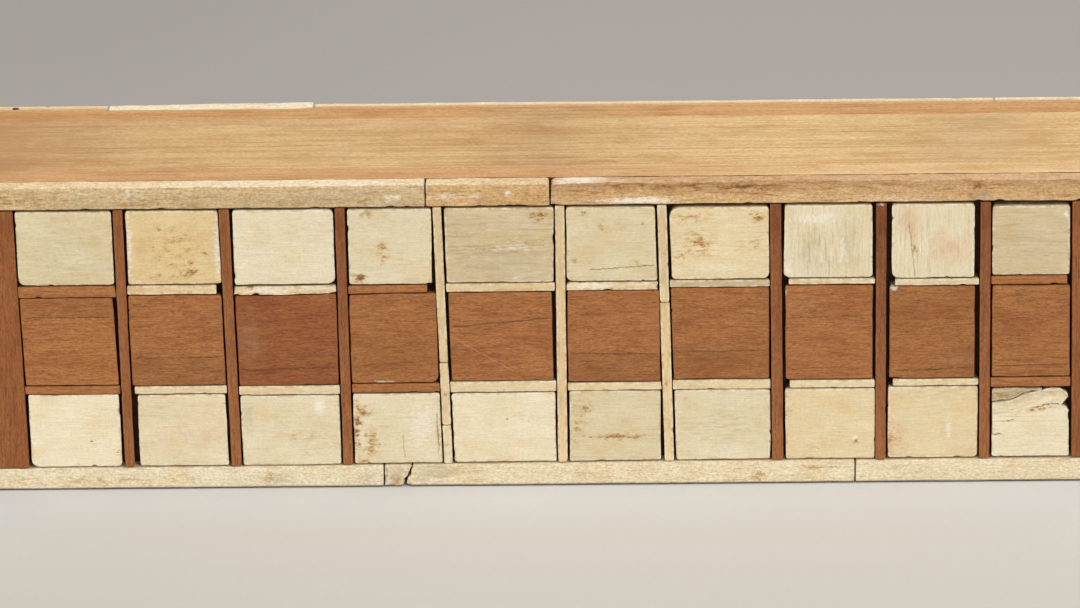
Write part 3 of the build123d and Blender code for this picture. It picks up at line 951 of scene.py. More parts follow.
    def _specks(self) -> bpy.types.NodeTree:
        """Scattered small dark pits."""
        inputs = {"Place": "Vector", "Spacing": "Float", "Amount": "Float"}
        tree, graph, given, leave = self._new("Specks", inputs, {"Mask": "Float"})
        scaled = graph.scale(given["Place"], graph.math("DIVIDE", 1.0, given["Spacing"]))
        cells = graph.add("ShaderNodeTexVoronoi", feature="F1")
        graph.feed(cells.inputs["Vector"], scaled)
        chosen = graph.split(cells.outputs["Color"])[0]
        keep = graph.math("LESS_THAN", chosen, given["Amount"])
        size = graph.times(graph.split(cells.outputs["Color"])[1], 0.22)
        dot = graph.ease(cells.outputs["Distance"], graph.times(size, 0.4), size, 1.0, 0.0)
        graph.feed(leave.inputs["Mask"], graph.times(dot, keep))
        return tree

    def _weave(self) -> bpy.types.NodeTree:
        """Hair-fine lines along and across a piece, and the small mottling between them, each about 0.5."""
        outputs = {"Hair": "Float", "Mottle": "Float"}
        tree, graph, given, leave = self._new("Fine weave", {"Place": "Vector"}, outputs)
        along = graph.noise(graph.stretch(given["Place"], (0.16, 3.4, 3.4)), 1.0, 2.0, 0.7)
        across = graph.noise(graph.stretch(given["Place"], (3.0, 0.22, 0.22)), 1.0, 2.0, 0.7)
        hair = graph.plus(graph.times(along, 0.76), graph.times(across, 0.24))
        mottle = graph.noise(graph.stretch(given["Place"], (1.3, 2.3, 2.3)), 1.0, 4.0, 0.78)
        graph.feed(leave.inputs["Hair"], hair)
        graph.feed(leave.inputs["Mottle"], mottle)
        return tree

    def _stained(self) -> bpy.types.NodeTree:
        """A stain as it lies in a porous face: a faint halo, fine grains in it, and their dark cores."""
        inputs = {"Place": "Vector", "Amount": "Float"}
        outputs = {"Halo": "Float", "Grains": "Float", "Core": "Float"}
        tree, graph, given, leave = self._new("Stain in the pores", inputs, outputs)
        coarse = graph.noise(graph.stretch(given["Place"], (0.4, 0.65, 0.65)), 1.0, 3.0, 0.6)
        spread = graph.times(given["Amount"], graph.ease(coarse, 0.38, 0.62, 0.25, 1.35))
        fine = graph.noise(graph.stretch(given["Place"], (1.3, 3.0, 3.0)), 1.0, 4.0, 0.78)
        level = graph.plus(graph.times(spread, 0.38), graph.less(fine, 0.5))
        graph.feed(leave.inputs["Halo"], graph.ease(spread, 0.02, 0.9))
        graph.feed(leave.inputs["Grains"], graph.ease(level, 0.17, 0.33))
        graph.feed(leave.inputs["Core"], graph.ease(level, 0.31, 0.46))
        return tree


kit = GroupKit()


def start_material(name: str) -> tuple[bpy.types.Material, Graph, bpy.types.Node]:
    """Start a material.

    Args:
        name: its name.

    Returns:
        The material, its graph and its shader.
    """
    material = bpy.data.materials.new(name)
    material.use_nodes = True
    material.node_tree.nodes.clear()
    graph = Graph(material.node_tree)
    shader = graph.add("ShaderNodeBsdfPrincipled")
    output = graph.add("ShaderNodeOutputMaterial")
    graph.feed(output.inputs["Surface"], shader.outputs[0])
    return material, graph, shader


def both_lines(graph: Graph, place: Socket, width: float) -> tuple[Socket, Socket]:
    """Dark and pale masks of the two lines that a piece may carry."""
    first = graph.use(kit.drawn_line, Place=place, Line=graph.attribute("line_0"), Width=width)
    second = graph.use(kit.drawn_line, Place=place, Line=graph.attribute("line_1"), Width=width)
    return tuple(graph.math("MAXIMUM", first[name], second[name]) for name in ("Dark", "Pale"))


@dataclass(frozen=True)
class IvoryFinish:
    """Old ivory: faint growth lines, yellow clouds, stains, pits, dirty rims and rubbed arrises, partly a painted
    highlight.
    """

    name: str
    slot: str = "ivory"
    length: float = 9.0
    spacing: float = 0.5
    streak: float = 0.25
    hair: float = 0.42
    mottle: float = 0.5
    cloud: float = 0.6
    pits: float = 0.12
    dirt: float = 0.3
    # How much the arrises are lightened: partly rubbed wear, partly a painted highlight.
    rubbed: float = 0.5
    roughness: float = 0.42
    bump: float = 0.05

    def material(self) -> bpy.types.Material:
        """Build the finish."""
        material, graph, shader = start_material(self.name)
        place = graph.attribute("place")
        rim = graph.split(graph.attribute("rim"))[0]
        brown, grey, white = graph.split(graph.attribute("marks"))
        pink, rough_place, _ = graph.split(graph.attribute("more"))
        grain = graph.use(kit.fibres, Place=place, Length=self.length, Spacing=self.spacing)
        weave = graph.use(kit.weave, Place=place)
        clouds = graph.noise(graph.stretch(place, (0.13, 0.19, 0.19)), 1.0, 3.0, 0.6)
        fine = weave["Mottle"]
        colour = graph.attribute("tint")
        warm = graph.dyed(colour, (0.94, 0.85, 0.69))
        colour = graph.blend(graph.ease(clouds, 0.47, 0.72, 0.0, self.cloud), colour, warm)
        pale = graph.dyed(colour, (1.05, 1.08, 1.13))
        colour = graph.blend(graph.ease(clouds, 0.47, 0.26), colour, pale)
        uneven = graph.times(graph.less(weave["Hair"], 0.5), self.hair)
        spotted = graph.times(graph.less(fine, 0.5), self.mottle)
        colour = graph.scale(colour, graph.plus(graph.plus(uneven, spotted), 1.0))
        worn = graph.plus(self.streak, graph.times(rough_place, 0.9))
        lines = graph.times(graph.ease(grain["Streak"], 0.46, 0.28, 0.0, 1.0), worn, clamp=True)
        colour = graph.blend(lines, colour, graph.dyed(colour, (0.7, 0.58, 0.43)))
        frayed = graph.times(graph.ease(grain["Streak"], 0.5, 0.66), rough_place, clamp=True)
        colour = graph.blend(frayed, colour, graph.dyed(colour, (1.12, 1.18, 1.28)))
        stained = graph.use(kit.stained, Place=place, Amount=brown)
        brownish = graph.dyed(colour, (0.87, 0.73, 0.52))
        colour = graph.blend(graph.times(stained["Halo"], 0.72), colour, brownish)
        colour = graph.cover(colour, stained["Grains"], 0.8, Shade.STAIN)
        colour = graph.cover(colour, stained["Core"], 0.7, Shade.SOOT)
        veil = graph.use(kit.patch, Place=place, Amount=grey, Grain=(0.4, 1.3, 1.3), Softness=0.5)["Mask"]
        colour = graph.cover(colour, veil, 0.55, Shade.GREY_FILM)
        flush = graph.use(kit.patch, Place=place, Amount=pink, Grain=(0.5, 0.6, 0.6), Softness=0.65)["Mask"]
        colour = graph.cover(colour, flush, 0.5, Shade.BLUSH)
        rubbed = graph.use(kit.patch, Place=place, Amount=white, Grain=(0.8, 1.9, 1.9), Softness=0.35)["Mask"]
        colour = graph.cover(colour, rubbed, 0.85, Shade.CHALK)
        wear = graph.use(kit.rim_wear, Place=place, Rim=rim, Reach=0.6)
        colour = graph.cover(colour, wear["Dirt"], self.dirt, Shade.STAIN)
        # Rubbed arrises: partly wear, partly a painted highlight.
        colour = graph.cover(colour, wear["Rubbed_highlight"], self.rubbed, Shade.CHALK)
        pit = graph.use(kit.specks, Place=place, Spacing=1.3, Amount=self.pits)["Mask"]
        colour = graph.cover(colour, pit, 0.6, Shade.SOOT)
        dark, bright = both_lines(graph, place, 0.26)
        colour = graph.cover(colour, dark, 0.85, Shade.SOOT)
        colour = graph.cover(colour, bright, 0.7, Shade.CHALK)
        graph.feed(shader.inputs["Base Color"], colour)
        rubbed_gloss = graph.ease(graph.plus(fine, lines), 0.3, 0.8, self.roughness - 0.06, self.roughness + 0.16)
        graph.feed(shader.inputs["Roughness"], rubbed_gloss)
        heights = graph.plus(graph.times(grain["Streak"], graph.plus(0.5, rough_place)), fine)
        cut = graph.less(heights, graph.times(graph.math("MAXIMUM", dark, pit), 1.5))
        graph.roughen(shader, cut, 0.6, self.bump)
        return material


@dataclass(frozen=True)
class WoodFinish:
    """Old wood: streaks and short dark pores along the grain, growth bands, end grain, scuffs."""

    name: str
    slot: str = "red_wood"
    length: float = 3.6
    spacing: float = 0.26
    streak: float = 0.75
    pores: float = 0.5
    band: float = 0.6
    dirt: float = 0.3
    roughness: float = 0.56
    bump: float = 0.07
    deep: tuple[float, float, float] = (0.73, 0.59, 0.52)
    glowing: tuple[float, float, float] = (1.2, 1.24, 1.2)
    shade: Shade | None = None

    def material(self) -> bpy.types.Material:
        """Build the finish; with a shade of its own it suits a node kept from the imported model."""
        material, graph, shader = start_material(self.name)
        if self.shade is None:
            place, colour = graph.attribute("place"), graph.attribute("tint")
            rim = graph.split(graph.attribute("rim"))[0]
            brown, grey, white = graph.split(graph.attribute("marks"))
            end_grain = graph.split(graph.attribute("more"))[2]
        else:
            place = graph.scale(graph.add("ShaderNodeTexCoord").outputs["Object"], 1 / MM)
            colour, rim = self.shade.linear(), 5.0
            brown = grey = white = end_grain = 0.0
        grain = graph.use(kit.fibres, Place=place, Length=self.length, Spacing=self.spacing)
        fine = graph.noise(graph.stretch(place, (1.2, 4.2, 4.2)), 1.0, 3.0, 0.7)
        clouds = graph.noise(graph.stretch(place, (0.06, 0.14, 0.14)), 1.0, 3.0, 0.6)
        dark = graph.dyed(colour, self.deep)
        light = graph.dyed(colour, self.glowing)
        side = 1.0 if self.shade else graph.less(1.0, end_grain)
        tone = graph.blend(graph.ease(grain["Band"], 0.5, 0.7, 0.0, self.band), colour, dark)
        tone = graph.blend(graph.ease(grain["Band"], 0.5, 0.3, 0.0, self.band), tone, light)
        tone = graph.blend(graph.ease(clouds, 0.5, 0.72, 0.0, self.band), tone, dark)
        tone = graph.blend(graph.ease(clouds, 0.5, 0.28, 0.0, self.band), tone, light)
        shadow = graph.times(graph.ease(grain["Streak"], 0.5, 0.3, 0.0, self.streak), side)
        glow = graph.times(graph.ease(grain["Streak"], 0.5, 0.7, 0.0, self.streak), side)
        tone = graph.blend(glow, graph.blend(shadow, tone, dark), light)
        tone = graph.scale(tone, graph.ease(fine, 0.3, 0.7, 0.78, 1.22))
        pore = graph.times(graph.times(grain["Pore"], self.pores), side)
        tone = graph.blend(pore, tone, graph.dyed(colour, (0.42, 0.32, 0.25)))
        rings = graph.noise(graph.stretch(place, (0.2, 2.6, 0.8)), 1.0, 3.0, 0.7)
        ends = graph.times(graph.ease(rings, 0.35, 0.65, 0.25, 0.7), end_grain)
        tone = graph.blend(ends, tone, dark)
        if self.shade is None:
            smudge = graph.use(kit.patch, Place=place, Amount=brown, Grain=(0.3, 0.9, 0.9), Softness=0.55)["Mask"]
            tone = graph.blend(graph.times(smudge, 0.7), tone, dark)
            veil = graph.use(kit.patch, Place=place, Amount=grey, Grain=(0.6, 1.0, 1.0), Softness=0.7)["Mask"]
            tone = graph.cover(tone, veil, 0.25, Shade.GREY_FILM)
            dust = graph.use(kit.patch, Place=place, Amount=white, Grain=(0.9, 1.6, 1.6), Softness=0.3)["Mask"]
            tone = graph.cover(tone, dust, 0.7, Shade.CHALK)
            wear = graph.use(kit.rim_wear, Place=place, Rim=rim, Reach=0.6)
            tone = graph.blend(graph.times(wear["Dirt"], self.dirt), tone, dark)
            # Rubbed arrises: partly wear, partly a painted highlight.
            tone = graph.blend(graph.times(wear["Rubbed_highlight"], 0.4), tone, light)
            seam, scratch = both_lines(graph, place, 0.3)
            tone = graph.cover(tone, seam, 0.85, Shade.SOOT)
            tone = graph.cover(tone, scratch, 0.4, Shade.BLUSH)
        graph.feed(shader.inputs["Base Color"], tone)
        shader.inputs["Specular IOR Level"].default_value = 0.25
        gloss = graph.ease(fine, 0.3, 0.7, self.roughness - 0.07, self.roughness + 0.1)
        graph.feed(shader.inputs["Roughness"], gloss)
        heights = graph.less(graph.plus(grain["Streak"], graph.times(fine, 0.6)), grain["Pore"])
        graph.roughen(shader, heights, 0.6, self.bump)
        return material


@dataclass(frozen=True)
class MetalFinish:
    """Old copper alloy: dark brown skin, green in broken patches, bare metal between them."""

    name: str
    slot: str = "copper_alloy"
    roughness: float = 0.5
    metallic: float = 0.75
    skin: Shade = Shade.COPPER

    def material(self) -> bpy.types.Material:
        """Build the finish."""
        material, graph, shader = start_material(self.name)
        place = graph.scale(graph.add("ShaderNodeTexCoord").outputs["Object"], 1 / MM)
        broad = graph.noise(place, 0.5, 4.0, 0.6)
        fine = graph.noise(place, 2.4, 4.0, 0.65)
        green = graph.use(
            kit.patch, Place=place, Amount=graph.ease(broad, 0.4, 0.7), Grain=(1.1, 1.1, 1.1), Softness=0.3
        )
        colour = graph.blend(graph.ease(fine, 0.35, 0.7), self.skin.linear(), graph.scale(self.skin.linear()[:3], 1.7))
        colour = graph.cover(colour, green["Mask"], 0.7, Shade.VERDIGRIS)
        graph.feed(shader.inputs["Base Color"], colour)
        bare = graph.less(1.0, green["Mask"])
        graph.feed(shader.inputs["Metallic"], graph.times(bare, self.metallic))
        graph.feed(shader.inputs["Roughness"], graph.ease(fine, 0.3, 0.7, self.roughness - 0.12, self.roughness + 0.2))
        graph.roughen(shader, graph.plus(fine, broad), 0.7, 0.08)
        return material


class Finish(Enum):
    """The finishes of the box."""

    IVORY_SQUARE = IvoryFinish("ivory square")
    IVORY_STRIP = IvoryFinish("ivory strip", streak=0.4, hair=0.6, pits=0.06)
    IVORY_RAIL = IvoryFinish(
        "ivory rail", length=6.0, spacing=0.48, streak=0.7, hair=0.4, mottle=1.5, pits=0.16, rubbed=0.12, bump=0.09
    )
    BROWNED_RAIL = IvoryFinish(
        "browned ivory rail", length=7.0, spacing=0.62, streak=1.0, hair=0.8, mottle=2.1, pits=0.2, rubbed=0.12,
        bump=0.11
    )
    RED_SQUARE = WoodFinish("red wood square")
    RED_STRIP = WoodFinish("red wood strip", length=6.0, spacing=0.28, band=0.4)
    BOARD = WoodFinish(
        "board wood", slot="carcass_wood", length=110.0, spacing=0.95, streak=0.95, pores=0.35, band=0.9, roughness=0.5,
        bump=0.05,
        deep=(0.84, 0.73, 0.6), glowing=(1.08, 1.14, 1.17),
    )
    HIDDEN_WOOD = WoodFinish(
        "hidden wood", slot="carcass_wood", length=30.0, spacing=0.5, streak=0.35, shade=Shade.DRAWER_WOOD
    )
    METAL = MetalFinish("old copper alloy")
    NAIL = MetalFinish("blackened nail", metallic=0.2, roughness=0.65, skin=Shade.BLACKENED)

    @property
    def material(self) -> bpy.types.Material:
        """The finish's material, built once."""
        return bpy.data.materials.get(self.value.name) or self.value.material()


def dress(piece: bpy.types.Object, finish: Finish, body: str, *nodes: str) -> None:
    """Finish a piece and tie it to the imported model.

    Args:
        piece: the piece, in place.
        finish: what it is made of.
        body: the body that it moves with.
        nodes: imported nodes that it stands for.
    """
    piece.data.materials.clear()
    piece.data.materials.append(finish.material)
    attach(piece, body)
    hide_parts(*nodes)
    points = len(piece.data.vertices)
    log.info("%s: %d points, %s, stands for %s", piece.name, points, finish.value.name, ", ".join(nodes))


def lay(
    outline: Outline,
    name: str,
    node: str,
    finish: Finish,
    wear: Wear,
    looks: Looks,
    seed: int,
    ragged: dict[Side, tuple[Point, ...]] | None = None,
    body: str = "box",
) -> None:
    """Cut a worn piece to an outline and dress it.

    Args:
        outline: its four corners, face and back.
        name: its name.
        node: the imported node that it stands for.
        finish: what it is made of.
        wear: how it is worn.
        looks: its shade and marks.
        seed: fixes its random wear.
        ragged: sides drawn in along a broken outline.
        body: the body that it moves with.
    """
    slab = Slab(name, outline.corners, outline.face, outline.back, wear, looks, seed, ragged or {})
    dress(slab.make(), finish, body, node)


# ------------------------------------------------------------------ senet face
# Shade, stains, seams and cracks of every square, as seen on the box.
SQUARE_LOOKS: dict[tuple[Row, int], Looks] = {
    (Row.TOP, 1): Looks(Shade.BONE, (film(0.6, 0.45, 0.6, 0.6, 0.3), stain(0.9, 0.9, 0.15, 0.15, 0.3))),
    (Row.TOP, 2): Looks(
        Shade.HONEYED,
        (
            stain(0.68, 0.22, 0.13, 0.12, 0.85), stain(0.52, 0.5, 0.55, 0.5, 0.42), stain(0.5, 0.13, 0.5, 0.1, 0.5),
            blush(0.12, 0.47, 0.06, 0.07, 0.9), stain(0.35, 0.73, 0.06, 0.07, 0.6), stain(0.86, 0.45, 0.08, 0.12, 0.6),
            chalk(0.02, 0.5, 0.05, 0.6, 0.6), chalk(0.98, 0.4, 0.045, 0.5, 0.55), chalk(0.08, 0.04, 0.1, 0.05, 0.4),
        ),
    ),
    (Row.TOP, 3): Looks(
        Shade.CREAM,
        (film(0.75, 0.75, 0.25, 0.2, 0.3),),
        (Line((0.0, 0.46), (1.0, 0.37), -0.7),),
    ),
    (Row.TOP, 4): Looks(
        Shade.PALE_BONE,
        (
            stain(0.42, 0.42, 0.1, 0.2, 0.65), stain(0.12, 0.08, 0.12, 0.09, 0.9),
            stain(0.22, 0.93, 0.16, 0.08, 0.6), stain(0.62, 0.3, 0.12, 0.14, 0.42),
            film(0.4, 0.85, 0.4, 0.15, 0.3), chalk(0.93, 0.85, 0.08, 0.1, 0.3),
        ),
    ),
    (Row.TOP, 5): Looks(
        Shade.GREYED,
        (
            stain(0.87, 0.88, 0.11, 0.09, 0.85), film(0.5, 0.3, 0.6, 0.3, 0.6),
            stain(0.3, 0.45, 0.35, 0.06, 0.4), film(0.3, 0.75, 0.5, 0.2, 0.35),
            stain(0.1, 0.6, 0.1, 0.4, 0.32), chalk(0.65, 0.04, 0.06, 0.04, 0.5), weathered(0.5, 0.6, 0.7, 0.45, 0.75),
            stain(0.75, 0.55, 0.3, 0.12, 0.4), chalk(0.6, 0.45, 0.35, 0.04, 0.4), stain(0.15, 0.3, 0.15, 0.3, 0.3),
        ),
        (Line((0.02, 0.42), (0.95, 0.5), 0.22),),
    ),
    (Row.TOP, 6): Looks(
        Shade.BONE,
        (
            stain(0.16, 0.93, 0.08, 0.06, 0.75), stain(0.62, 0.76, 0.06, 0.07, 0.6),
            stain(0.85, 0.74, 0.05, 0.06, 0.65), stain(0.4, 0.75, 0.07, 0.12, 0.5),
            stain(0.08, 0.27, 0.04, 0.05, 0.65), stain(0.75, 0.25, 0.06, 0.05, 0.65),
        ),
        (Line((0.22, 0.15), (1.0, 0.21), 0.75),),
    ),
    (Row.TOP, 7): Looks(
        Shade.YELLOWED,
        (
            stain(0.27, 0.5, 0.22, 0.2, 0.68), stain(0.87, 0.86, 0.11, 0.08, 0.8), chalk(0.5, 0.15, 0.4, 0.1, 0.45),
            stain(0.2, 0.88, 0.25, 0.12, 0.6), stain(0.82, 0.48, 0.12, 0.08, 0.6), stain(0.1, 0.3, 0.1, 0.15, 0.5),
            weathered(0.27, 0.52, 0.22, 0.2, 1.0), weathered(0.85, 0.7, 0.15, 0.3, 0.5),
        ),
    ),
    (Row.TOP, 8): Looks(
        Shade.PALE_BONE,
        (
            film(0.3, 0.35, 0.2, 0.4, 0.55), film(0.75, 0.5, 0.14, 0.4, 0.5), film(0.5, 0.2, 0.5, 0.2, 0.4),
            chalk(0.35, 0.82, 0.3, 0.1, 0.65), chalk(0.03, 0.12, 0.07, 0.15, 0.7), chalk(0.66, 0.35, 0.04, 0.3, 0.6),
            stain(0.1, 0.75, 0.1, 0.2, 0.3), weathered(0.45, 0.4, 0.3, 0.4, 0.7),
        ),
        (Line((0.3, 0.15), (0.27, 0.5), 0.3),),
        turned=True,
    ),
    (Row.TOP, 9): Looks(
        Shade.PALE_BONE,
        (
            blush(0.2, 0.78, 0.14, 0.2, 1.0), blush(0.68, 0.42, 0.25, 0.22, 0.75), chalk(0.4, 0.45, 0.1, 0.2, 0.4),
            stain(0.27, 0.4, 0.05, 0.25, 0.6), stain(0.93, 0.6, 0.05, 0.3, 0.35), weathered(0.3, 0.6, 0.3, 0.4, 0.5),
        ),
        (Line((0.28, -0.02), (0.2, 0.78), 0.6),),
        turned=True,
    ),
    (Row.TOP, 10): Looks(
        Shade.GREYED,
        (
            chalk(0.96, 0.86, 0.05, 0.07, 0.7), chalk(0.5, 0.99, 0.6, 0.03, 0.35), film(0.4, 0.4, 0.5, 0.4, 0.35),
            weathered(0.5, 0.5, 0.6, 0.5, 0.4)
        ),
        (Line((0.64, 0.27), (0.74, 0.27), 0.7),),
    ),
    (Row.BOTTOM, 1): Looks(
        Shade.FRESH_IVORY,
        (stain(0.68, 0.35, 0.02, 0.02, 1.0), stain(0.97, 0.2, 0.03, 0.14, 0.7), stain(0.5, 0.03, 0.04, 0.03, 0.6))
    ),
    (Row.BOTTOM, 2): Looks(Shade.RAIL_IVORY, (blush(0.6, 0.5, 0.4, 0.4, 0.25), film(0.2, 0.8, 0.3, 0.3, 0.25))),
    (Row.BOTTOM, 3): Looks(
        Shade.PALE_BONE,
        (
            stain(0.6, 0.4, 0.3, 0.1, 0.42), stain(0.66, 0.18, 0.2, 0.08, 0.3), chalk(0.8, 0.84, 0.07, 0.12, 0.9),
            chalk(0.9, 0.25, 0.05, 0.2, 0.35), film(0.07, 0.7, 0.06, 0.25, 0.5), stain(0.5, 0.5, 0.6, 0.6, 0.2),
        ),
    ),
    (Row.BOTTOM, 4): Looks(
        Shade.PALE_BONE,
        (
            stain(0.03, 0.5, 0.07, 0.4, 1.0), stain(0.2, 0.3, 0.2, 0.3, 0.6), stain(0.1, 0.75, 0.14, 0.14, 0.7),
            chalk(0.78, 0.5, 0.2, 0.6, 0.5), stain(0.97, 0.35, 0.025, 0.3, 0.6), stain(0.1, 0.02, 0.08, 0.03, 0.8),
        ),
        (Line((0.58, 0.05), (0.56, 0.45), 0.45), Line((0.97, 0.12), (0.965, 0.75), 0.6)),
    ),
    (Row.BOTTOM, 5): Looks(Shade.CREAM, (stain(0.42, 0.02, 0.18, 0.04, 0.55), stain(0.53, 0.63, 0.015, 0.02, 1.0))),
    (Row.BOTTOM, 6): Looks(
        Shade.BONE,
        (
            stain(0.08, 0.6, 0.12, 0.5, 0.5), stain(0.55, 0.33, 0.3, 0.07, 0.8), stain(0.2, 0.75, 0.1, 0.08, 0.75),
            stain(0.85, 0.35, 0.08, 0.06, 0.5), stain(0.22, 0.33, 0.03, 0.04, 0.85),
        ),
    ),
    (Row.BOTTOM, 7): Looks(Shade.PALE_BONE, (film(0.5, 0.5, 0.5, 0.4, 0.3), stain(0.1, 0.9, 0.1, 0.05, 0.4))),
    (Row.BOTTOM, 8): Looks(
        Shade.YELLOWED,
        (
            chalk(0.78, 0.3, 0.035, 0.035, 1.0), stain(0.79, 0.24, 0.04, 0.05, 0.75), stain(0.0, 0.6, 0.15, 0.5, 0.4),
            stain(0.35, 0.2, 0.3, 0.1, 0.35)
        ),
    ),
    (Row.BOTTOM, 9): Looks(
        Shade.YELLOWED,
        (
            stain(0.57, 0.53, 0.05, 0.06, 0.5), film(0.5, 0.92, 0.5, 0.12, 0.4), stain(0.0, 0.25, 0.22, 0.35, 0.5),
            blush(0.08, 0.3, 0.15, 0.3, 0.5), chalk(0.68, 0.4, 0.04, 0.2, 0.6)
        ),
    ),
    (Row.BOTTOM, 10): Looks(
        Shade.CREAM,
        (
            weathered(0.3, 0.76, 0.6, 0.12, 1.0), weathered(0.75, 0.95, 0.4, 0.1, 1.0),
            stain(0.5, 0.72, 0.4, 0.03, 0.7),
            stain(0.2, 0.65, 0.3, 0.02, 0.6), film(0.6, 0.95, 0.5, 0.08, 0.7), stain(0.07, 0.42, 0.1, 0.02, 0.9),
        ),
        (Line((0.0, 0.41), (0.14, 0.415), 1.0), Line((0.5, 0.745), (1.02, 0.775), 1.0)),
    ),
    (Row.MIDDLE, 1): Looks(
        Shade.RUSSET, (stain(0.5, 0.9, 0.6, 0.12, 0.5),), (Line((0, 0.765), (1, 0.765), 0.8),), below_line=1.12
    ),
    (Row.MIDDLE, 2): Looks(Shade.WARM_RUSSET, (), (Line((0, 0.3), (1, 0.305), 0.7),), below_line=0.88),
    (Row.MIDDLE, 3): Looks(
        Shade.DEEP_RUSSET,
        (film(0.12, 0.5, 0.12, 0.25, 0.5), stain(0.4, 0.15, 0.5, 0.06, 0.6)),
        (Line((0, 0.165), (1, 0.19), 0.85), Line((0.05, 0.12), (0.35, 0.13), 0.6)),
    ),
    (Row.MIDDLE, 4): Looks(
        Shade.RUSSET,
        (stain(0.35, 0.6, 0.12, 0.015, 1.0), stain(0.5, 0.2, 0.6, 0.12, 0.45), chalk(0.35, 0.01, 0.12, 0.015, 0.8)),
        (Line((0.1, 0.2), (0.9, 0.24), 0.4),),
    ),
    (Row.MIDDLE, 5): Looks(
        Shade.WARM_RUSSET,
        (blush(0.02, 0.88, 0.06, 0.05, 0.8),),
        (Line((0.0, 0.62), (1.0, 0.71), 0.8), Line((0.03, 0.49), (0.63, 0.09), -0.8)),
    ),
    (Row.MIDDLE, 6): Looks(
        Shade.WARM_RUSSET, (), (Line((0, 0.31), (1, 0.3), 0.75), Line((0.1, 0.75), (0.45, 0.76), 0.7)), below_line=0.88
    ),
    (Row.MIDDLE, 7): Looks(
        Shade.RUSSET, (stain(0.5, 0.18, 0.6, 0.12, 0.45), film(0.4, 0.3, 0.2, 0.06, 0.3)),
        (Line((0, 0.3), (1, 0.31), 0.7),), below_line=0.93
    ),
    (Row.MIDDLE, 8): Looks(
        Shade.WARM_RUSSET,
        (film(0.2, 0.8, 0.3, 0.08, 0.3), stain(0.4, 0.45, 0.3, 0.03, 0.5), chalk(0.0, 0.93, 0.02, 0.03, 0.9)),
        (Line((0, 0.66), (1, 0.68), 0.55),)
    ),
    (Row.MIDDLE, 9): Looks(
        Shade.RUSSET,
        (film(0.8, 0.2, 0.3, 0.05, 0.4), stain(0.5, 0.25, 0.6, 0.05, 0.3), chalk(0.05, 0.99, 0.05, 0.03, 1.0)),
        (Line((0.05, 0.08), (0.97, 0.11), 0.8),)
    ),
    (Row.MIDDLE, 10): Looks(
        Shade.RUSSET, (stain(0.5, 0.03, 0.6, 0.05, 0.3),),
        (Line((0, 0.12), (1, 0.13), 0.75), Line((0, 0.19), (0.6, 0.17), 0.4))
    ),
}


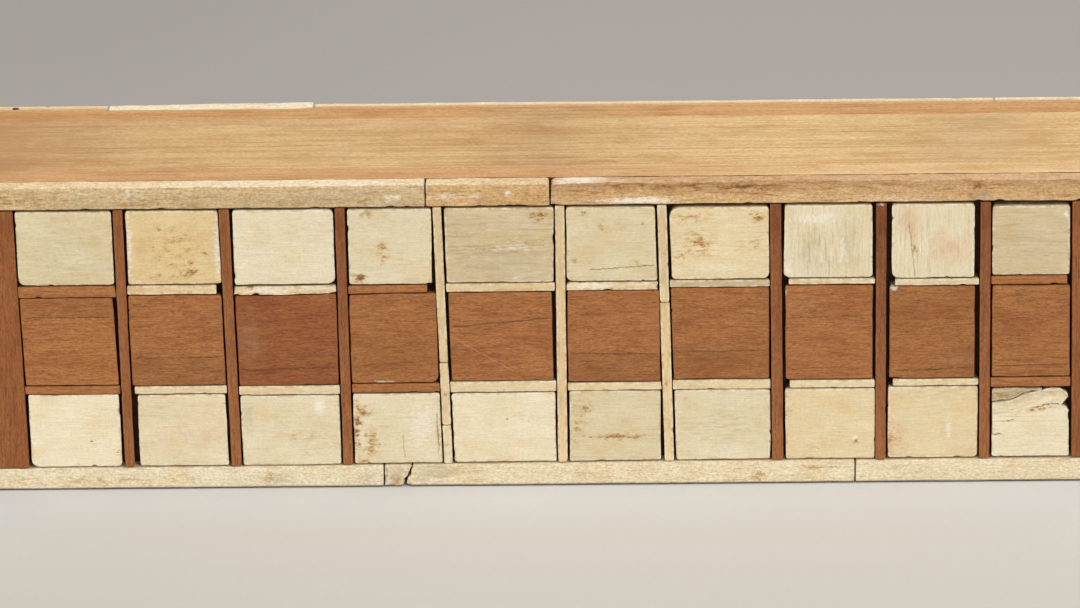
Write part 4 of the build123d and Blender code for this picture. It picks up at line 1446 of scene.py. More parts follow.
@dataclass
class SenetSquares:
    """Thirty squares: ivory above and below, reddish wood in the middle row."""

    columns: int = 10
    fine_step: tuple[float, float, float] = (0.25, 0.25, 1.2)
    ivory_wear: Wear = Wear(relief=0.09, crown=0.1)
    wood_wear: Wear = Wear(arris=0.12, corners=(0.35,) * 4, chips=0.9, chip_depth=0.22, relief=0.05, ripple=0.05)
    rounded: dict[tuple[Row, int], tuple[float, float, float, float]] = field(
        default_factory=lambda: {
            (Row.TOP, 1): (1.4, 0.6, 0.6, 0.4),
            (Row.TOP, 3): (0.6, 1.6, 1.2, 0.5),
            (Row.TOP, 6): (1.3, 0.5, 0.6, 0.5),
            (Row.TOP, 7): (1.0, 1.5, 0.7, 2.4),
            (Row.TOP, 8): (1.2, 0.8, 0.5, 0.5),
            (Row.TOP, 9): (1.5, 0.5, 0.8, 0.8),
            (Row.MIDDLE, 4): (0.4, 1.6, 0.4, 0.4),
            (Row.BOTTOM, 1): (1.8, 1.0, 0.5, 0.4),
            (Row.BOTTOM, 5): (0.9, 0.4, 0.5, 0.8),
            (Row.BOTTOM, 9): (0.6, 1.0, 0.4, 0.3),
        }
    )
    # How far the left and right sides stand from their packed places, in millimetres: foot and head of each.
    shifted: dict[tuple[Row, int], tuple[float, float, float, float]] = field(
        default_factory=lambda: {
            (Row.TOP, 1): (0.0, 0.3, 0.0, 0.0),
            (Row.TOP, 2): (0.2, 0.3, 0.3, 0.1),
            (Row.TOP, 3): (0.1, 0.25, 0.0, 0.0),
            (Row.TOP, 4): (0.0, 0.0, 0.0, 0.6),
            (Row.TOP, 5): (0.0, 0.0, 0.3, 0.5),
            (Row.TOP, 7): (0.3, 0.1, 0.2, 0.2),
            (Row.TOP, 8): (0.0, 0.3, -0.4, -0.4),
            (Row.MIDDLE, 1): (0.1, 0.0, 0.5, 0.0),
            (Row.MIDDLE, 4): (0.0, 0.0, 0.0, 0.4),
            (Row.MIDDLE, 5): (0.0, 0.1, 0.0, -0.3),
            (Row.MIDDLE, 6): (0.0, 0.0, 0.0, 0.45),
            (Row.MIDDLE, 7): (0.1, 0.0, -0.2, 0.0),
            (Row.BOTTOM, 1): (0.1, 0.4, -0.3, -0.3),
            (Row.BOTTOM, 2): (0.2, 0.3, -0.1, -0.2),
            (Row.BOTTOM, 6): (0.1, 0.2, -0.4, 0.0),
            (Row.BOTTOM, 7): (0.1, 0.1, 0.0, 0.1),
            (Row.BOTTOM, 8): (0.1, 0.1, 0.3, 0.3),
        }
    )
    # How far the heads of squares stand below their packed places, in millimetres.
    lowered: dict[tuple[Row, int], float] = field(
        default_factory=lambda: {(Row.TOP, 7): 0.5, (Row.TOP, 10): 0.8, (Row.MIDDLE, 10): 0.6}
    )
    top_gap: float = 0.2
    # The broken square: distances from the lower left corner of each piece, in millimetres.
    broken_top: tuple[Point, ...] = (
        (0.0, 3.65), (1.7, 3.45), (4.0, 3.25), (5.8, 2.55), (7.1, 1.85), (8.8, 1.25),
        (10.9, 0.95), (12.9, 0.5), (15.2, 0.1), (16.7, 0.2), (17.8, 1.3),
    )
    broken_right: tuple[Point, ...] = (
        (0.0, 0.0), (11.3, 0.0), (12.2, 0.5), (12.9, 1.8), (13.6, 1.2), (14.4, 0.15), (16.2, 0.5), (17.5, 1.4),
    )
    fragment_size: Point = (11.6, 3.62)
    fragment_sunk: float = 0.35
    fragment_shades: tuple[tuple[float, Shade], ...] = ((0.2, Shade.GREYED), (0.8, Shade.PALE_BONE))
    fragment_foot: tuple[Point, ...] = (
        (0.0, 0.0), (1.7, 0.2), (4.0, 0.45), (5.8, 1.15), (7.1, 1.9), (8.8, 2.5), (10.9, 2.75),
    )

    def build(self) -> None:
        """Cut, wear and dress every square."""
        for (row, column), looks in SQUARE_LOOKS.items():
            node = f"square_{row.value}_{column:02d}"
            outline = outlines(node, whole=True)[0]
            left_foot, left_head, right_foot, right_head = self.shifted.get((row, column), (0.0,) * 4)
            outline.corners[:, 0] += (left_foot, right_foot, right_head, left_head)
            outline.corners[2:, 1] -= self.lowered.get((row, column), self.top_gap if row is Row.TOP else 0.0)
            wood = row is Row.MIDDLE
            wear = self.wood_wear if wood else self.ivory_wear
            if (row, column) in self.rounded:
                wear = replace(wear, corners=self.rounded[row, column])
            name = f"{'wood' if wood else 'ivory'}_square_{row.value}_{column:02d}"
            seed = 100 * (list(Row).index(row) + 1) + column
            finish = Finish.RED_SQUARE if wood else Finish.IVORY_SQUARE
            ragged = {}
            if (row, column) == (Row.BOTTOM, self.columns):
                ragged = {Side.TOP: self.broken_top, Side.RIGHT: self.broken_right}
                wear = replace(
                    wear, step=self.fine_step, relief=0.14, corners=(0.5, 0.6, 0.1, 0.1), spread=(0.15, 0.05)
                )
                self._fragment(outline, node)
            lay(outline, name, node, finish, wear, looks, seed, ragged)

    def _fragment(self, outline: Outline, node: str) -> None:
        """The loose wedge above the crack of the broken square."""
        up_left = outline.corners[3]
        length, height = self.fragment_size
        corners = np.array(
            [up_left - (0, height), up_left + (length, -height), up_left + (length, -0.15), up_left - (0, 0.1)]
        )
        marks = (film(0.5, 0.5, 0.8, 0.8, 0.9), weathered(0.5, 0.6, 0.7, 0.6, 1.0), stain(0.3, 0.3, 0.5, 0.4, 0.75))
        wear = replace(
            self.ivory_wear, step=self.fine_step, corners=(0.2, 0.1, 0.3, 0.6), relief=0.2, spread=(0.1, 0.0)
        )
        wedge = Outline(corners, outline.face + self.fragment_sunk, outline.back)
        looks = Looks(Shade.BONE, marks, along=self.fragment_shades)
        ragged = {Side.BOTTOM: self.fragment_foot}
        lay(wedge, "ivory_square_fragment", node, Finish.IVORY_SQUARE, wear, looks, 777, ragged)


@dataclass
class SenetStrips:
    """Uprights, cross strips and end strips of the senet face."""

    upright_wear: Wear = Wear(
        arris=0.12, corners=(0.5, 0.5, 0.2, 0.2), wobble=0.06, chips=1.5, chip_depth=0.2, relief=0.05, tilt=0.04,
        spread=(0.1, 0.1),
        step=(0.3, 0.5, 1.6),
    )
    cross_wear: Wear = Wear(
        arris=0.12, corners=(0.25,) * 4, wobble=0.07, chips=1.2, chip_depth=0.25, relief=0.07, tilt=0.08,
        spread=(0.12, 0.14),
        step=(0.4, 0.25, 1.6),
    )
    end_wear: Wear = Wear(
        corners=(0.4,) * 4, wobble=0.07, relief=0.06, ripple=0.04, spread=(0.06, 0.1), step=(0.5, 0.6, 1.6)
    )
    ragged_crosses: tuple[int, ...] = (3, 6)
    end_widening: float = 0.35
    last_cross_drop: float = 0.5
    # Foot and head of each length of the ivory uprights, from left to right.
    ivory_lengths: tuple[tuple[Shade, Shade], ...] = (
        (Shade.STRIP_IVORY, Shade.STRIP_HEAD), (Shade.STRIP_FOOT, Shade.STRIP_IVORY), (Shade.CREAM, Shade.STRIP_FOOT),
        (Shade.STRIP_FOOT, Shade.STRIP_HEAD), (Shade.STRIP_IVORY, Shade.STRIP_HEAD),
        (Shade.STRIP_FOOT, Shade.STRIP_IVORY),
    )

    def build(self) -> None:
        """Cut, wear and dress every strip."""
        self._uprights()
        self._crosses()
        self._end_strips()

    def _uprights(self) -> None:
        """Six uprights of wood and three of ivory, two of these pieced together."""
        pale, plain, dark = Shade.UPRIGHT_PALE, Shade.UPRIGHT_HEAD, Shade.UPRIGHT_DARK
        heads = (pale, pale, plain, plain, dark, plain)
        for number, (outline, head) in enumerate(zip(outlines("wood_dividers"), heads)):
            marks = (film(0.03, 0.5, 0.15, 0.6, 0.4), stain(0.5, 0.93, 0.8, 0.05, 0.7), stain(0.9, 0.5, 0.3, 0.6, 0.4))
            if head is dark:
                marks += (chalk(0.5, 0.995, 0.5, 0.005, 0.9),)
            looks = Looks(Shade.UPRIGHT_FOOT, marks, turned=True, head=head)
            lay(
                outline, f"wood_upright_{number + 1}", "wood_dividers", Finish.RED_STRIP, self.upright_wear, looks,
                400 + number
            )
        for number, outline in enumerate(outlines("ivory_dividers")):
            marks = (stain(0.5, 0.5, 0.5, 0.05, 0.5), film(0.4, 0.25, 0.5, 0.06, 0.5))
            foot, head = self.ivory_lengths[number]
            looks = Looks(foot, marks, turned=True, head=head)
            lay(
                outline, f"ivory_upright_{number + 1}", "ivory_dividers", Finish.IVORY_STRIP, self.upright_wear, looks,
                420 + number
            )

    def _crosses(self) -> None:
        """Twenty short strips between the rows."""
        for number, outline in enumerate(outlines("wood_cross_strips")):
            if outline.middle[0] > LAST_COLUMN and outline.middle[1] > MIDDLE_ROW:
                outline.corners[:2, 1] -= self.last_cross_drop
            looks = Looks(Shade.WARM_RUSSET, (stain(0.5, 0.1, 0.8, 0.2, 0.5),))
            lay(
                outline, f"wood_cross_{number + 1}", "wood_cross_strips", Finish.RED_STRIP, self.cross_wear, looks,
                440 + number
            )
        boxes = [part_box(f"square_middle_{column:02d}") for column in range(1, 11)]
        columns = [float(low.x + high.x) * 500 for low, high in boxes]
        for number, outline in enumerate(outlines("ivory_cross_strips")):
            column = int(np.argmin([abs(x - outline.middle[0]) for x in columns])) + 1
            upper = outline.middle[1] > MIDDLE_ROW
            looks, wear = self._ivory_cross(column, upper)
            name = f"ivory_cross_{'upper' if upper else 'lower'}_{column:02d}"
            lay(outline, name, "ivory_cross_strips", Finish.IVORY_STRIP, wear, looks, 460 + number)

    def _ivory_cross(self, column: int, upper: bool) -> tuple[Looks, Wear]:
        """Looks and wear of one ivory cross strip."""
        wear = self.cross_wear
        if upper and column in self.ragged_crosses:
            marks = (chalk(0.3, 0.5, 0.3, 0.5, 0.75), chalk(0.8, 0.7, 0.3, 0.4, 0.5), stain(0.6, 0.2, 0.3, 0.3, 0.6))
            return Looks(Shade.STRIP_IVORY, marks), replace(wear, chips=9, chip_depth=0.5, wobble=0.12)
        if upper and column == 2:
            return Looks(Shade.STRIP_IVORY, (blush(0.1, 0.6, 0.15, 0.6, 0.8), stain(0.6, 0.3, 0.3, 0.3, 0.45))), wear
        if upper and column in (8, 9):
            end = 0.98 if column == 8 else 0.0
            return Looks(Shade.YELLOWED, (film(0.4, 0.5, 0.6, 0.6, 0.4), chalk(end, 0.3, 0.035, 0.4, 1.0))), wear
        if upper and column == 7:
            return Looks(Shade.GREYED, (film(0.5, 0.5, 0.8, 0.8, 0.8),)), wear
        if upper:
            return Looks(Shade.STRIP_IVORY, (stain(0.6, 0.2, 0.4, 0.3, 0.4),)), wear
        return Looks(Shade.YELLOWED, (stain(0.2, 0.3, 0.2, 0.4, 0.3),)), wear

    def _end_strips(self) -> None:
        """Two wide strips at the ends of the senet face and two at the ends of the rear face."""
        for number, outline in enumerate(outlines("end_strips")):
            if outline.face < 0 and outline.middle[0] < 0:
                outline.corners[2][0] += self.end_widening
            looks = Looks(
                Shade.END_STRIP_WOOD, (stain(0.4, 0.95, 0.8, 0.05, 0.6), stain(0.8, 0.3, 0.3, 0.3, 0.3)), turned=True
            )
            lay(outline, f"end_strip_{number + 1}", "end_strips", Finish.RED_STRIP, self.end_wear, looks, 490 + number)


@dataclass
class FrontRails:
    """Ivory rails above and below the senet squares."""

    wear: Wear = Wear(
        arris=0.26, corners=(0.25,) * 4, wobble=0.08, chips=7, chip_depth=0.24, relief=0.12, relief_size=(9.0, 2.4),
        ripple=0.05, gap_shading=0.0, spread=(0.12, 0.02), step=(0.5, 0.4, 0.4),
    )
    slant_top: float = 0.45
    slant_foot: float = 1.75
    # The broken ends there: how far each is drawn in at heights above its foot, in millimetres.
    broken_ends: dict[int, dict[Side, tuple[Point, ...]]] = field(
        default_factory=lambda: {
            1: {Side.RIGHT: ((0.0, 0.0), (1.4, 0.1), (2.2, 0.5), (2.9, 0.1), (6.0, 0.0))},
            2: {Side.LEFT: ((0.0, 0.2), (1.2, 0.0), (2.6, 0.0), (3.3, 0.45), (4.3, 0.1), (6.0, 0.0))},
        }
    )

    def upper_looks(self) -> list[tuple[Looks, Wear]]:
        """Looks and wear of the three lengths of the upper rail."""
        clean = Looks(
            Shade.AGED_RAIL,
            (
                film(0.75, 0.4, 0.3, 0.5, 0.45), stain(0.1, 0.4, 0.2, 0.6, 0.5), stain(0.42, 0.35, 0.14, 0.5, 0.5),
                film(0.3, 0.3, 0.14, 0.5, 0.35), chalk(0.93, 0.4, 0.02, 0.25, 0.6), chalk(0.36, 0.75, 0.03, 0.2, 0.4),
                stain(0.6, 0.5, 0.5, 0.5, 0.3), stain(0.1, 1.0, 0.2, 0.05, 0.35), chalk(0.7, 1.0, 0.35, 0.03, 0.4),
                weathered(0.2, 0.4, 0.2, 0.4, 0.45), weathered(0.85, 0.3, 0.15, 0.4, 0.5),
                stain(0.73, 0.25, 0.25, 0.25, 0.45),
            ),
            head=Shade.AGED_RAIL_HEAD,
            upper=Shade.RAIL_TOP,
        )
        chipped = Looks(
            Shade.BROWNED_RAIL,
            (
                chalk(0.66, 0.6, 0.03, 0.13, 1.0), chalk(0.17, 0.45, 0.14, 0.16, 0.55),
                chalk(0.4, 0.45, 0.1, 0.18, 0.42),
                stain(0.85, 0.5, 0.12, 0.4, 0.55), stain(0.5, 0.15, 0.4, 0.2, 0.5), stain(0.1, 0.7, 0.2, 0.2, 0.4),
                stain(0.5, 1.0, 0.3, 0.05, 0.35), chalk(0.3, 1.0, 0.4, 0.03, 0.3), weathered(0.3, 0.4, 0.3, 0.4, 0.3),
            ),
            upper=Shade.RAIL_TOP_MIDDLE,
        )
        feathery = Looks(
            Shade.BROWNED_RAIL,
            (
                weathered(0.28, 0.6, 0.3, 0.5, 0.8), weathered(0.08, 0.8, 0.1, 0.3, 0.8),
                chalk(0.15, 0.15, 0.07, 0.16, 0.95),
                stain(0.2, 0.8, 0.16, 0.25, 0.8), stain(0.34, 0.7, 0.08, 0.3, 0.9), stain(0.08, 0.6, 0.08, 0.4, 0.5),
                stain(0.745, 0.55, 0.018, 0.5, 1.0), film(0.755, 0.25, 0.02, 0.3, 0.9),
                chalk(0.62, 0.2, 0.2, 0.2, 0.25),
                weathered(0.65, 0.75, 0.35, 0.25, 0.6), stain(0.35, 1.0, 0.3, 0.06, 0.5),
                chalk(0.05, 1.0, 0.07, 0.05, 0.6),
            ),
            head=Shade.DARK_RAIL_HEAD,
            upper=Shade.BROWNED_TOP,
        )
        return [
            (clean, self.wear),
            (chipped, replace(self.wear, relief=0.18, corners=(0.2, 0.2, 0.6, 0.2))),
            (
                feathery,
                replace(self.wear, relief=0.22, ripple=0.16, chips=12, chip_depth=0.35, corners=(0.2, 0.3, 0.3, 1.3))
            ),
        ]

    def lower_looks(self) -> list[tuple[Looks, Wear]]:
        """Looks and wear of the four lengths of the lower rail."""
        first = Looks(
            Shade.CREAM,
            (
                stain(0.72, 0.5, 0.03, 0.35, 0.6), film(0.74, 0.45, 0.04, 0.4, 0.6), stain(0.3, 0.4, 0.4, 0.4, 0.4),
                chalk(0.2, 0.75, 0.25, 0.25, 0.25), film(0.95, 0.5, 0.05, 0.5, 0.4),
            ),
        )
        broken = Looks(
            Shade.RAIL_IVORY,
            (film(0.5, 0.5, 0.6, 0.6, 0.8), stain(0.6, 0.3, 0.5, 0.4, 0.6), weathered(0.5, 0.5, 0.5, 0.6, 0.7)),
            (Line((0.05, 1.0), (0.12, 0.1), 0.5),),
        )
        long = Looks(
            Shade.RAIL_IVORY,
            (
                film(0.05, 0.6, 0.06, 0.5, 0.65), stain(0.12, 0.7, 0.06, 0.3, 0.4), stain(0.79, 0.35, 0.03, 0.35, 0.6),
                stain(0.9, 0.7, 0.05, 0.2, 0.45), stain(0.5, 0.5, 0.6, 0.5, 0.25), weathered(0.06, 0.5, 0.09, 0.5, 0.9),
            ),
        )
        last = Looks(Shade.RAIL_IVORY, (stain(0.5, 0.6, 0.4, 0.4, 0.25), stain(0.88, 0.9, 0.02, 0.1, 0.9)))
        # Each lower rail gets a painted contact shadow along its foot.
        return [(replace(look, foot_shadow=Shade.BLACKENED), self.wear) for look in (first, broken, long, last)]

    def build(self) -> None:
        """Cut, wear and dress both rails."""
        for number, (outline, (looks, wear)) in enumerate(zip(outlines("top_rail"), self.upper_looks())):
            lay(outline, f"upper_rail_{number + 1}", "top_rail", Finish.BROWNED_RAIL, wear, looks, 500 + number)
        lower = outlines("bottom_rail")
        # The short broken piece tapers: its right end and the next piece's left end slant together.
        lower[1].corners[1][0] -= self.slant_foot
        lower[1].corners[2][0] += self.slant_top
        lower[2].corners[0][0] -= self.slant_foot - 0.2
        lower[2].corners[3][0] += self.slant_top
        for number, (outline, (looks, wear)) in enumerate(zip(lower, self.lower_looks())):
            if number == 1:
                wear = replace(wear, corners=(0.3, 1.2, 0.4, 0.3), step=(0.3, 0.3, 0.5))
            if number == 2:
                wear = replace(wear, corners=(1.6, 0.3, 0.3, 0.3))
            ragged = self.broken_ends.get(number)
            name = f"lower_rail_{number + 1}"
            lay(outline, name, "bottom_rail", Finish.IVORY_RAIL, wear, looks, 510 + number, ragged)


# ------------------------------------------------------------------ twenty-squares face
@dataclass
class RearFace:
    """The face with the twenty squares."""

    square_wear: Wear = Wear(step=(0.8, 0.8, 1.6))
    strip_wear: Wear = Wear(
        arris=0.12, corners=(0.3,) * 4, wobble=0.05, relief=0.05, tilt=0.04, spread=(0.1, 0.1), step=(0.6, 0.6, 1.6)
    )
    panel_wear: Wear = Wear(wobble=0.08, chips=3, ripple=0.05, step=(1.2, 0.7, 1.6))
    rail_wear: Wear = Wear(
        arris=0.25, corners=(0.15,) * 4, wobble=0.06, chips=4, chip_depth=0.25, relief=0.08, relief_size=(14.0, 2.4),
        gap_shading=0.0, spread=(0.08, 0.0), step=(0.7, 0.5, 0.5),
    )
    upper_left_drop: float = 0.45
    square_shades: tuple[Shade, ...] = (
        Shade.BONE, Shade.PALE_BONE, Shade.CREAM, Shade.YELLOWED, Shade.GREYED, Shade.HONEYED
    )

    def build(self) -> None:
        """Cut, wear and dress every piece of the rear face."""
        self._squares()
        self._strips()
        self._rails()

    def _squares(self) -> None:
        """Twenty ivory squares and two panels of wood, each with stains of its own."""
        draw = np.random.default_rng(31)
        for number, outline in enumerate(outlines("rear_squares")):
            shade = self.square_shades[draw.integers(len(self.square_shades))]
            marks = tuple(
                stain(
                    *draw.uniform(0.05, 0.95, 2), *draw.uniform(0.05, 0.3, 2), draw.uniform(0.3, 0.75)
                ) for _ in range(3)
            )
            looks = Looks(shade, marks + (film(*draw.uniform(0.2, 0.8, 2), 0.4, 0.3, 0.4),))
            lay(
                outline, f"rear_square_{number + 1:02d}", "rear_squares", Finish.IVORY_SQUARE, self.square_wear, looks,
                600 + number
            )
        for number, outline in enumerate(outlines("rear_panels")):
            looks = Looks(
                Shade.RUSSET, (film(0.7, 0.4, 0.3, 0.3, 0.3), stain(0.2, 0.6, 0.2, 0.3, 0.4)),
                (Line((0.0, 0.6), (1.0, 0.57), 0.6),), below_line=0.95
            )
            lay(
                outline, f"rear_panel_{number + 1}", "rear_panels", Finish.RED_SQUARE, self.panel_wear, looks,
                630 + number
            )

    def _strips(self) -> None:
        """Uprights of wood and cross strips of ivory."""
        for number, outline in enumerate(outlines("rear_dividers")):
            looks = Looks(Shade.UPRIGHT_FOOT, turned=True, head=Shade.UPRIGHT_HEAD)
            name = f"rear_upright_{number + 1:02d}"
            lay(outline, name, "rear_dividers", Finish.RED_STRIP, self.strip_wear, looks, 640 + number)
        for number, outline in enumerate(outlines("rear_cross_strips")):
            looks = Looks(Shade.STRIP_IVORY, (stain(0.3, 0.5, 0.2, 0.5, 0.4),))
            lay(
                outline, f"rear_cross_{number + 1:02d}", "rear_cross_strips", Finish.IVORY_STRIP, self.strip_wear,
                looks, 660 + number
            )

    def _rails(self) -> None:
        """Rails above and below; the second length of the upper one rises towards its right end."""
        shades = (Shade.STRIP_IVORY, Shade.CREAM, Shade.YELLOWED, Shade.PALE_BONE)
        upper = outlines("rear_top_rail")
        upper[1].corners[3][1] -= self.upper_left_drop
        for number, (outline, shade) in enumerate(zip(upper, shades)):
            marks = (stain(0.3, 0.6, 0.2, 0.5, 0.35), stain(0.6, 1.0, 0.5, 0.1, 0.2), film(0.8, 0.3, 0.2, 0.4, 0.35))
            looks = Looks(shade, marks, root=None if number == 1 else Shade.FACE_BOARD)
            lay(
                outline, f"rear_upper_rail_{number + 1}", "rear_top_rail", Finish.IVORY_RAIL, self.rail_wear, looks,
                680 + number
            )
        for number, outline in enumerate(outlines("rear_bottom_rail")):
            looks = Looks(Shade.RAIL_IVORY, (stain(0.4, 0.5, 0.1, 0.4, 0.5), film(0.7, 0.5, 0.2, 0.4, 0.4)))
            lay(
                outline, f"rear_lower_rail_{number + 1}", "rear_bottom_rail", Finish.IVORY_RAIL, self.rail_wear, looks,
                690 + number
            )


# ------------------------------------------------------------------ carcass and drawer
@dataclass
class Carcass:
    """The boards of the box, worn where they show."""

    face_board_wear: Wear = replace(PLANED, chips=8, chip_depth=0.25, relief=0.07, step=(0.9, 4.0, 0.6))
    side_board_wear: Wear = replace(
        PLANED, arris=0.15, corners=(0.2,) * 4, chips=6, chip_depth=0.2, relief=0.06, step=(0.9, 2.0, 0.6)
    )

    # Shades at shares of the way along the boards whose upper sides show.
    along: dict[str, tuple[tuple[float, Shade], ...]] = field(
        default_factory=lambda: {
            "upper_side_board": (
                (0.04, Shade.SIDE_BOARD_DULL), (0.28, Shade.SIDE_BOARD), (0.42, Shade.SIDE_BOARD),
                (0.5, Shade.SIDE_BOARD_DULL),
                (0.56, Shade.SIDE_BOARD), (0.72, Shade.SIDE_BOARD_PALE), (0.86, Shade.SIDE_BOARD),
                (0.97, Shade.SIDE_BOARD_PALE),
            ),
            "front_board": ((0.5, Shade.FACE_BOARD), (0.72, Shade.FACE_BOARD_PALE)),
            "back_board": ((0.42, Shade.BACK_BOARD), (0.5, Shade.SIDE_BOARD_DULL), (0.6, Shade.BACK_BOARD)),
        }
    )

    def build(self) -> None:
        """Plane, wear and dress the boards."""
        boards = (
            ("front_board", Shade.FACE_BOARD, self.face_board_wear),
            ("back_board", Shade.FACE_BOARD, self.face_board_wear),
            ("upper_side_board", Shade.SIDE_BOARD, self.side_board_wear),
            ("lower_side_board", Shade.SIDE_BOARD, self.side_board_wear),
            ("end_board", Shade.DRAWER_WOOD, replace(self.side_board_wear, step=(1.5, 1.5, 1.0))),
            ("drawer_stop", Shade.DRAWER_WOOD, replace(self.side_board_wear, step=(1.5, 3.0, 3.0))),
        )
        for number, (node, shade, wear) in enumerate(boards):
            outline = block_outline(node)
            if node == "back_board":
                outline = Outline(outline.corners, outline.back, outline.face)
            # Painted shade on the faces of the front and back boards, seen down in the gaps between the inlays.
            gap_floor_shade = Shade.OLD_GLUE if node in ("front_board", "back_board") else None
            looks = Looks(
                shade, self.marks(node), turned=node in ("end_board", "drawer_stop"), face=gap_floor_shade,
                along=self.along.get(node, ()),
            )
            lay(outline, f"worn_{node}", node, Finish.BOARD, wear, looks, 700 + number)
        for node in ("carcass_dowels", "drawer_pins"):
            keep_node(node, Finish.HIDDEN_WOOD)

    @staticmethod
    def marks(node: str) -> tuple[Mark, ...]:
        """Darkened places on the upper side of the boards that show; the darker left end is painted shade."""
        # Painted shade: the boards' left ends darker.
        shaded_left_end = (stain(0.0, 1.0, 0.1, 0.1, 0.75),)
        if node == "upper_side_board":
            return (
                *shaded_left_end, film(0.88, 1.0, 0.04, 0.1, 0.6), stain(0.395, 1.0, 0.03, 0.1, 0.35),
                stain(0.92, 1.0, 0.04, 0.1, 0.35)
            )
        return shaded_left_end if node in ("front_board", "back_board") else ()


def keep_node(node: str, finish: Finish) -> None:
    """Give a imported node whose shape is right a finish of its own."""
    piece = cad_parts[node]
    piece.data.materials.clear()
    piece.data.materials.append(finish.material)
    log.info("%s: kept as packed, %s", node, finish.value.name)


@dataclass
class Drawer:
    """The tray that slides out of the left end."""

    tongue_overlap: float = 0.5
    front_wear: Wear = replace(PLANED, arris=0.35, corners=(0.4,) * 4, chips=6, relief=0.08, step=(0.8, 0.7, 0.7))
    side_wear: Wear = replace(PLANED, chips=6, chip_depth=0.2, relief=0.05, step=(1.2, 0.8, 1.0))
    floor_wear: Wear = replace(PLANED, chips=4, relief=0.05, step=(1.2, 1.0, 0.8))

    def build(self) -> None:
        """Plane, wear and dress the drawer."""
        high = np.array(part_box("drawer_front")[1]) * 1000
        inner_low, inner_high = (np.array(corner) * 1000 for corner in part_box("drawer_floor"))
        shoulder = float(inner_low[0])
        looks = Looks(Shade.DRAWER_WOOD, turned=True)
        front = block_outline("drawer_front", high=(shoulder, high[2]))
        lay(front, "worn_drawer_front", "drawer_front", Finish.BOARD, self.front_wear, looks, 720, body="drawer")
        tongue = block_outline("drawer_front", (shoulder - self.tongue_overlap, inner_low[2]), (high[0], inner_high[2]))
        tongue.back = inner_low[1]
        lay(tongue, "worn_drawer_tongue", "drawer_front", Finish.BOARD, self.side_wear, looks, 721, body="drawer")
        boards = (
            ("drawer_lower_side", self.side_wear),
            ("drawer_upper_side", self.side_wear),
            ("drawer_floor", self.floor_wear),
            ("drawer_back", self.side_wear),
        )
        for number, (node, wear) in enumerate(boards):
            outline = block_outline(node)
            looks = Looks(Shade.DRAWER_WOOD, turned=node == "drawer_back")
            lay(outline, f"worn_{node}", node, Finish.BOARD, wear, looks, 722 + number, body="drawer")


@dataclass
class Fastening:
    """Bolt, staples and nail of copper alloy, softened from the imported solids."""

    bevel: float = 0.16
    hammered: float = 0.05

    def build(self) -> None:
        """Soften, hammer and dress the metal."""
        for node, body in (("bolt", "bolt"), ("drawer_staples", "drawer"), ("catch_staple", "box")):
            dress(self._softened(node), Finish.METAL, body, node)
        dress(self._softened("rear_rail_nail"), Finish.NAIL, "box", "rear_rail_nail")

    def _softened(self, node: str) -> bpy.types.Object:
        """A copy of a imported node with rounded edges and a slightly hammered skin."""
        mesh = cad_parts[node].data.copy()
        mesh.name = f"forged_{node}"
        work = bmesh.new()
        work.from_mesh(mesh)
        bmesh.ops.remove_doubles(work, verts=work.verts, dist=0.002 * MM)
        bmesh.ops.dissolve_limit(work, angle_limit=math.radians(2), verts=work.verts, edges=work.edges)
        sharp = [edge for edge in work.edges if edge.is_manifold and edge.calc_face_angle(0.0) > math.radians(28)]
        bmesh.ops.bevel(
            work, geom=sharp, offset=self.bevel * MM, segments=2, profile=0.5, affect="EDGES", clamp_overlap=True
        )
        bmesh.ops.triangulate(work, faces=[face for face in work.faces if len(face.verts) > 4])
        bmesh.ops.subdivide_edges(
            work, edges=[e for e in work.edges if e.calc_length() > 0.9 * MM], cuts=2, use_grid_fill=True
        )
        dents = Unevenness(len(node))
        work.normal_update()
        for vertex in work.verts:
            x, y, z = vertex.co / MM
            dent = float(dents.at(np.array([x / 1.3 + y / 1.9]), np.array([z / 1.6 + y / 1.3]), 2)[0])
            vertex.co -= vertex.normal * (self.hammered * (0.5 + 0.5 * dent)) * MM
        work.to_mesh(mesh)
        work.free()
        mesh.shade_smooth()
        made = bpy.data.objects.new(f"forged_{node}", mesh)
        bpy.context.scene.collection.objects.link(made)
        return made


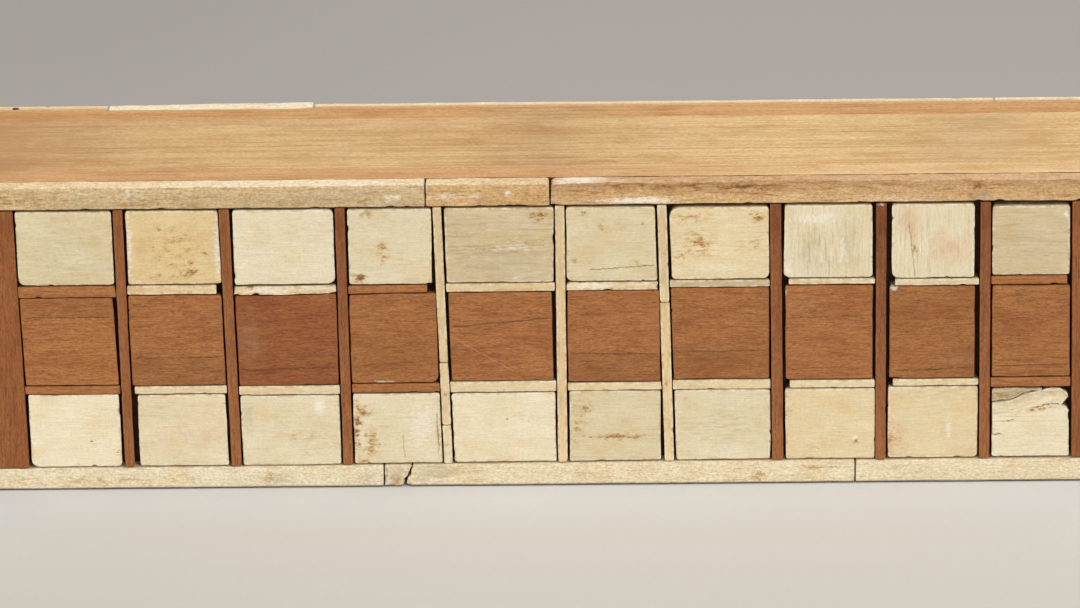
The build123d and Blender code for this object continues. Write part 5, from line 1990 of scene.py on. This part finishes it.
# ------------------------------------------------------------------ floor, light and camera
@dataclass
class Studio:
    """Plain pale floor, soft light and the photograph's camera."""

    pitch: float = 21.5
    yaw: float = -0.6
    roll: float = -0.75
    distance: float = 1400.0
    lens: float = 201.6
    look_at: tuple[float, float, float] = (-1.2, -28.25, 45.8)
    floor_reach: float = 3.0
    # The floor's colour at places along Y, in millimetres: palest at the foot of the box, a painted pool of light, and
    # greyer behind it.
    floor_colours_and_painted_light: tuple[tuple[float, tuple[int, int, int]], ...] = (
        (-420.0, (190, 187, 179)), (-93.0, (199, 195, 187)), (-77.0, (203, 199, 191)), (-54.0, (214, 212, 204)),
        (-37.0, (224, 224, 223)), (60.0, (206, 201, 196)), (230.0, (167, 161, 157)), (330.0, (165, 159, 155)),
    )
    # Painted shade: how dark the floor becomes towards the left.
    left_dimming: float = 0.94
    backdrop: tuple[int, int, int] = (176, 169, 163)

    def build(self) -> None:
        """Set up everything round the box."""
        self._floor()
        self._world()
        self._lamps()
        self._camera()

    @staticmethod
    def _linear(shade: tuple[int, int, int]) -> tuple[float, float, float, float]:
        """A 0 to 255 shade as the shaders take it."""
        return (*[((c / 255 + 0.055) / 1.055) ** 2.4 for c in shade], 1.0)

    def _floor(self) -> None:
        """A wide sheet of pale paper, with painted light palest at the foot of the box, greyer behind it, and painted
        shade darker to the left.
        """
        work = bmesh.new()
        bmesh.ops.create_grid(work, x_segments=48, y_segments=48, size=self.floor_reach)
        mesh = bpy.data.meshes.new("floor")
        work.to_mesh(mesh)
        work.free()
        mesh.shade_smooth()
        floor = bpy.data.objects.new("floor", mesh)
        floor.location.z = -0.02 * MM
        bpy.context.scene.collection.objects.link(floor)
        material, graph, shader = start_material("paper floor")
        place = graph.scale(graph.add("ShaderNodeTexCoord").outputs["Object"], 1 / MM)
        x, y, _ = graph.split(place)
        fibre = graph.noise(place, 0.8, 3.0)
        first, last = self.floor_colours_and_painted_light[0][0], self.floor_colours_and_painted_light[-1][0]
        ramp = graph.add("ShaderNodeValToRGB")
        graph.feed(ramp.inputs[0], graph.math("DIVIDE", graph.less(y, first), last - first))
        stops_wanted = len(self.floor_colours_and_painted_light)
        while len(ramp.color_ramp.elements) < stops_wanted:
            ramp.color_ramp.elements.new(0.5)
        for stop, (y_place, shade) in zip(ramp.color_ramp.elements, self.floor_colours_and_painted_light):
            stop.position = (y_place - first) / (last - first)
            stop.color = self._linear(shade)
        # Painted shade: the floor darker towards the left.
        colour = graph.scale(ramp.outputs[0], graph.ease(x, -150.0, 20.0, self.left_dimming, 1.0))
        darker = graph.dyed(colour, (0.96, 0.96, 0.96))
        colour = graph.blend(graph.ease(fibre, 0.4, 0.75, 0.0, 0.5), colour, darker)
        graph.feed(shader.inputs["Base Color"], colour)
        shader.inputs["Roughness"].default_value = 0.9
        shader.inputs["Specular IOR Level"].default_value = 0.15
        mesh.materials.append(material)

    def _world(self) -> None:
        """Even white light from all round; the camera and reflections see the backdrop's grey."""
        world = bpy.data.worlds.new("studio")
        bpy.context.scene.world = world
        world.use_nodes = True
        world.node_tree.nodes.clear()
        graph = Graph(world.node_tree)
        path = graph.add("ShaderNodeLightPath")
        seen = graph.math("MAXIMUM", path.outputs["Is Camera Ray"], path.outputs["Is Glossy Ray"])
        seen = graph.math("MAXIMUM", seen, path.outputs["Is Transmission Ray"])
        light = graph.add("ShaderNodeBackground")
        light.inputs["Color"].default_value = (1.0, 0.995, 0.985, 1.0)
        light.inputs["Strength"].default_value = 0.62
        backdrop = graph.add("ShaderNodeBackground")
        backdrop.inputs["Color"].default_value = self._linear(self.backdrop)
        mixed = graph.add("ShaderNodeMixShader")
        graph.feed(mixed.inputs[0], seen)
        graph.feed(mixed.inputs[1], light.outputs[0])
        graph.feed(mixed.inputs[2], backdrop.outputs[0])
        output = graph.add("ShaderNodeOutputWorld")
        graph.feed(output.inputs["Surface"], mixed.outputs[0])

    def _lamps(self) -> None:
        """Three large soft lamps: high in front on the left, low on the right, and above."""
        lamps = (
            ("key_lamp", (0.7, -1.15, 1.35), 0.8, 12.5, (1.0, 0.99, 0.975)),
            ("fill_lamp", (-1.1, -1.2, 0.8), 1.0, 7.0, (1.0, 0.995, 0.985)),
            ("top_lamp", (0.1, 0.45, 1.5), 1.0, 6.5, (1.0, 0.99, 0.975)),
        )
        for name, place, size, power, colour in lamps:
            data = bpy.data.lights.new(name, "AREA")
            data.shape = "SQUARE"
            data.size = size
            data.energy = power
            data.color = colour
            lamp = bpy.data.objects.new(name, data)
            lamp.location = place
            lamp.rotation_euler = (Vector((0.0, 0.0, 0.04)) - Vector(place)).to_track_quat("-Z", "Y").to_euler()
            bpy.context.scene.collection.objects.link(lamp)

    def _camera(self) -> None:
        """The camera, looking down on the senet face from in front."""
        pitch, yaw, roll = (math.radians(angle) for angle in (self.pitch, self.yaw, self.roll))
        ahead = Vector((math.sin(yaw) * math.cos(pitch), math.cos(yaw) * math.cos(pitch), -math.sin(pitch)))
        level = Vector((math.cos(yaw), -math.sin(yaw), 0.0))
        above = level.cross(ahead)
        right = level * math.cos(roll) + above * math.sin(roll)
        up = above * math.cos(roll) - level * math.sin(roll)
        place = Vector(self.look_at) * MM - ahead * self.distance * MM
        data = bpy.data.cameras.new("camera")
        data.lens = self.lens
        data.sensor_width = 36.0
        data.clip_start = 0.05
        data.clip_end = 20.0
        camera = bpy.data.objects.new("camera", data)
        axes = Matrix((right, up, -ahead)).transposed()
        camera.matrix_world = Matrix.Translation(place) @ axes.to_4x4()
        bpy.context.scene.collection.objects.link(camera)
        bpy.context.scene.camera = camera


def main() -> None:
    """Build the dressed box, piece by piece, and the studio round it."""
    logging.basicConfig(level=logging.INFO, format="%(message)s")
    bpy.context.scene.view_settings.view_transform = "Standard"
    SenetSquares().build()
    SenetStrips().build()
    FrontRails().build()
    RearFace().build()
    Carcass().build()
    Drawer().build()
    Fastening().build()
    Studio().build()


if __name__ == "__main__":
    main()
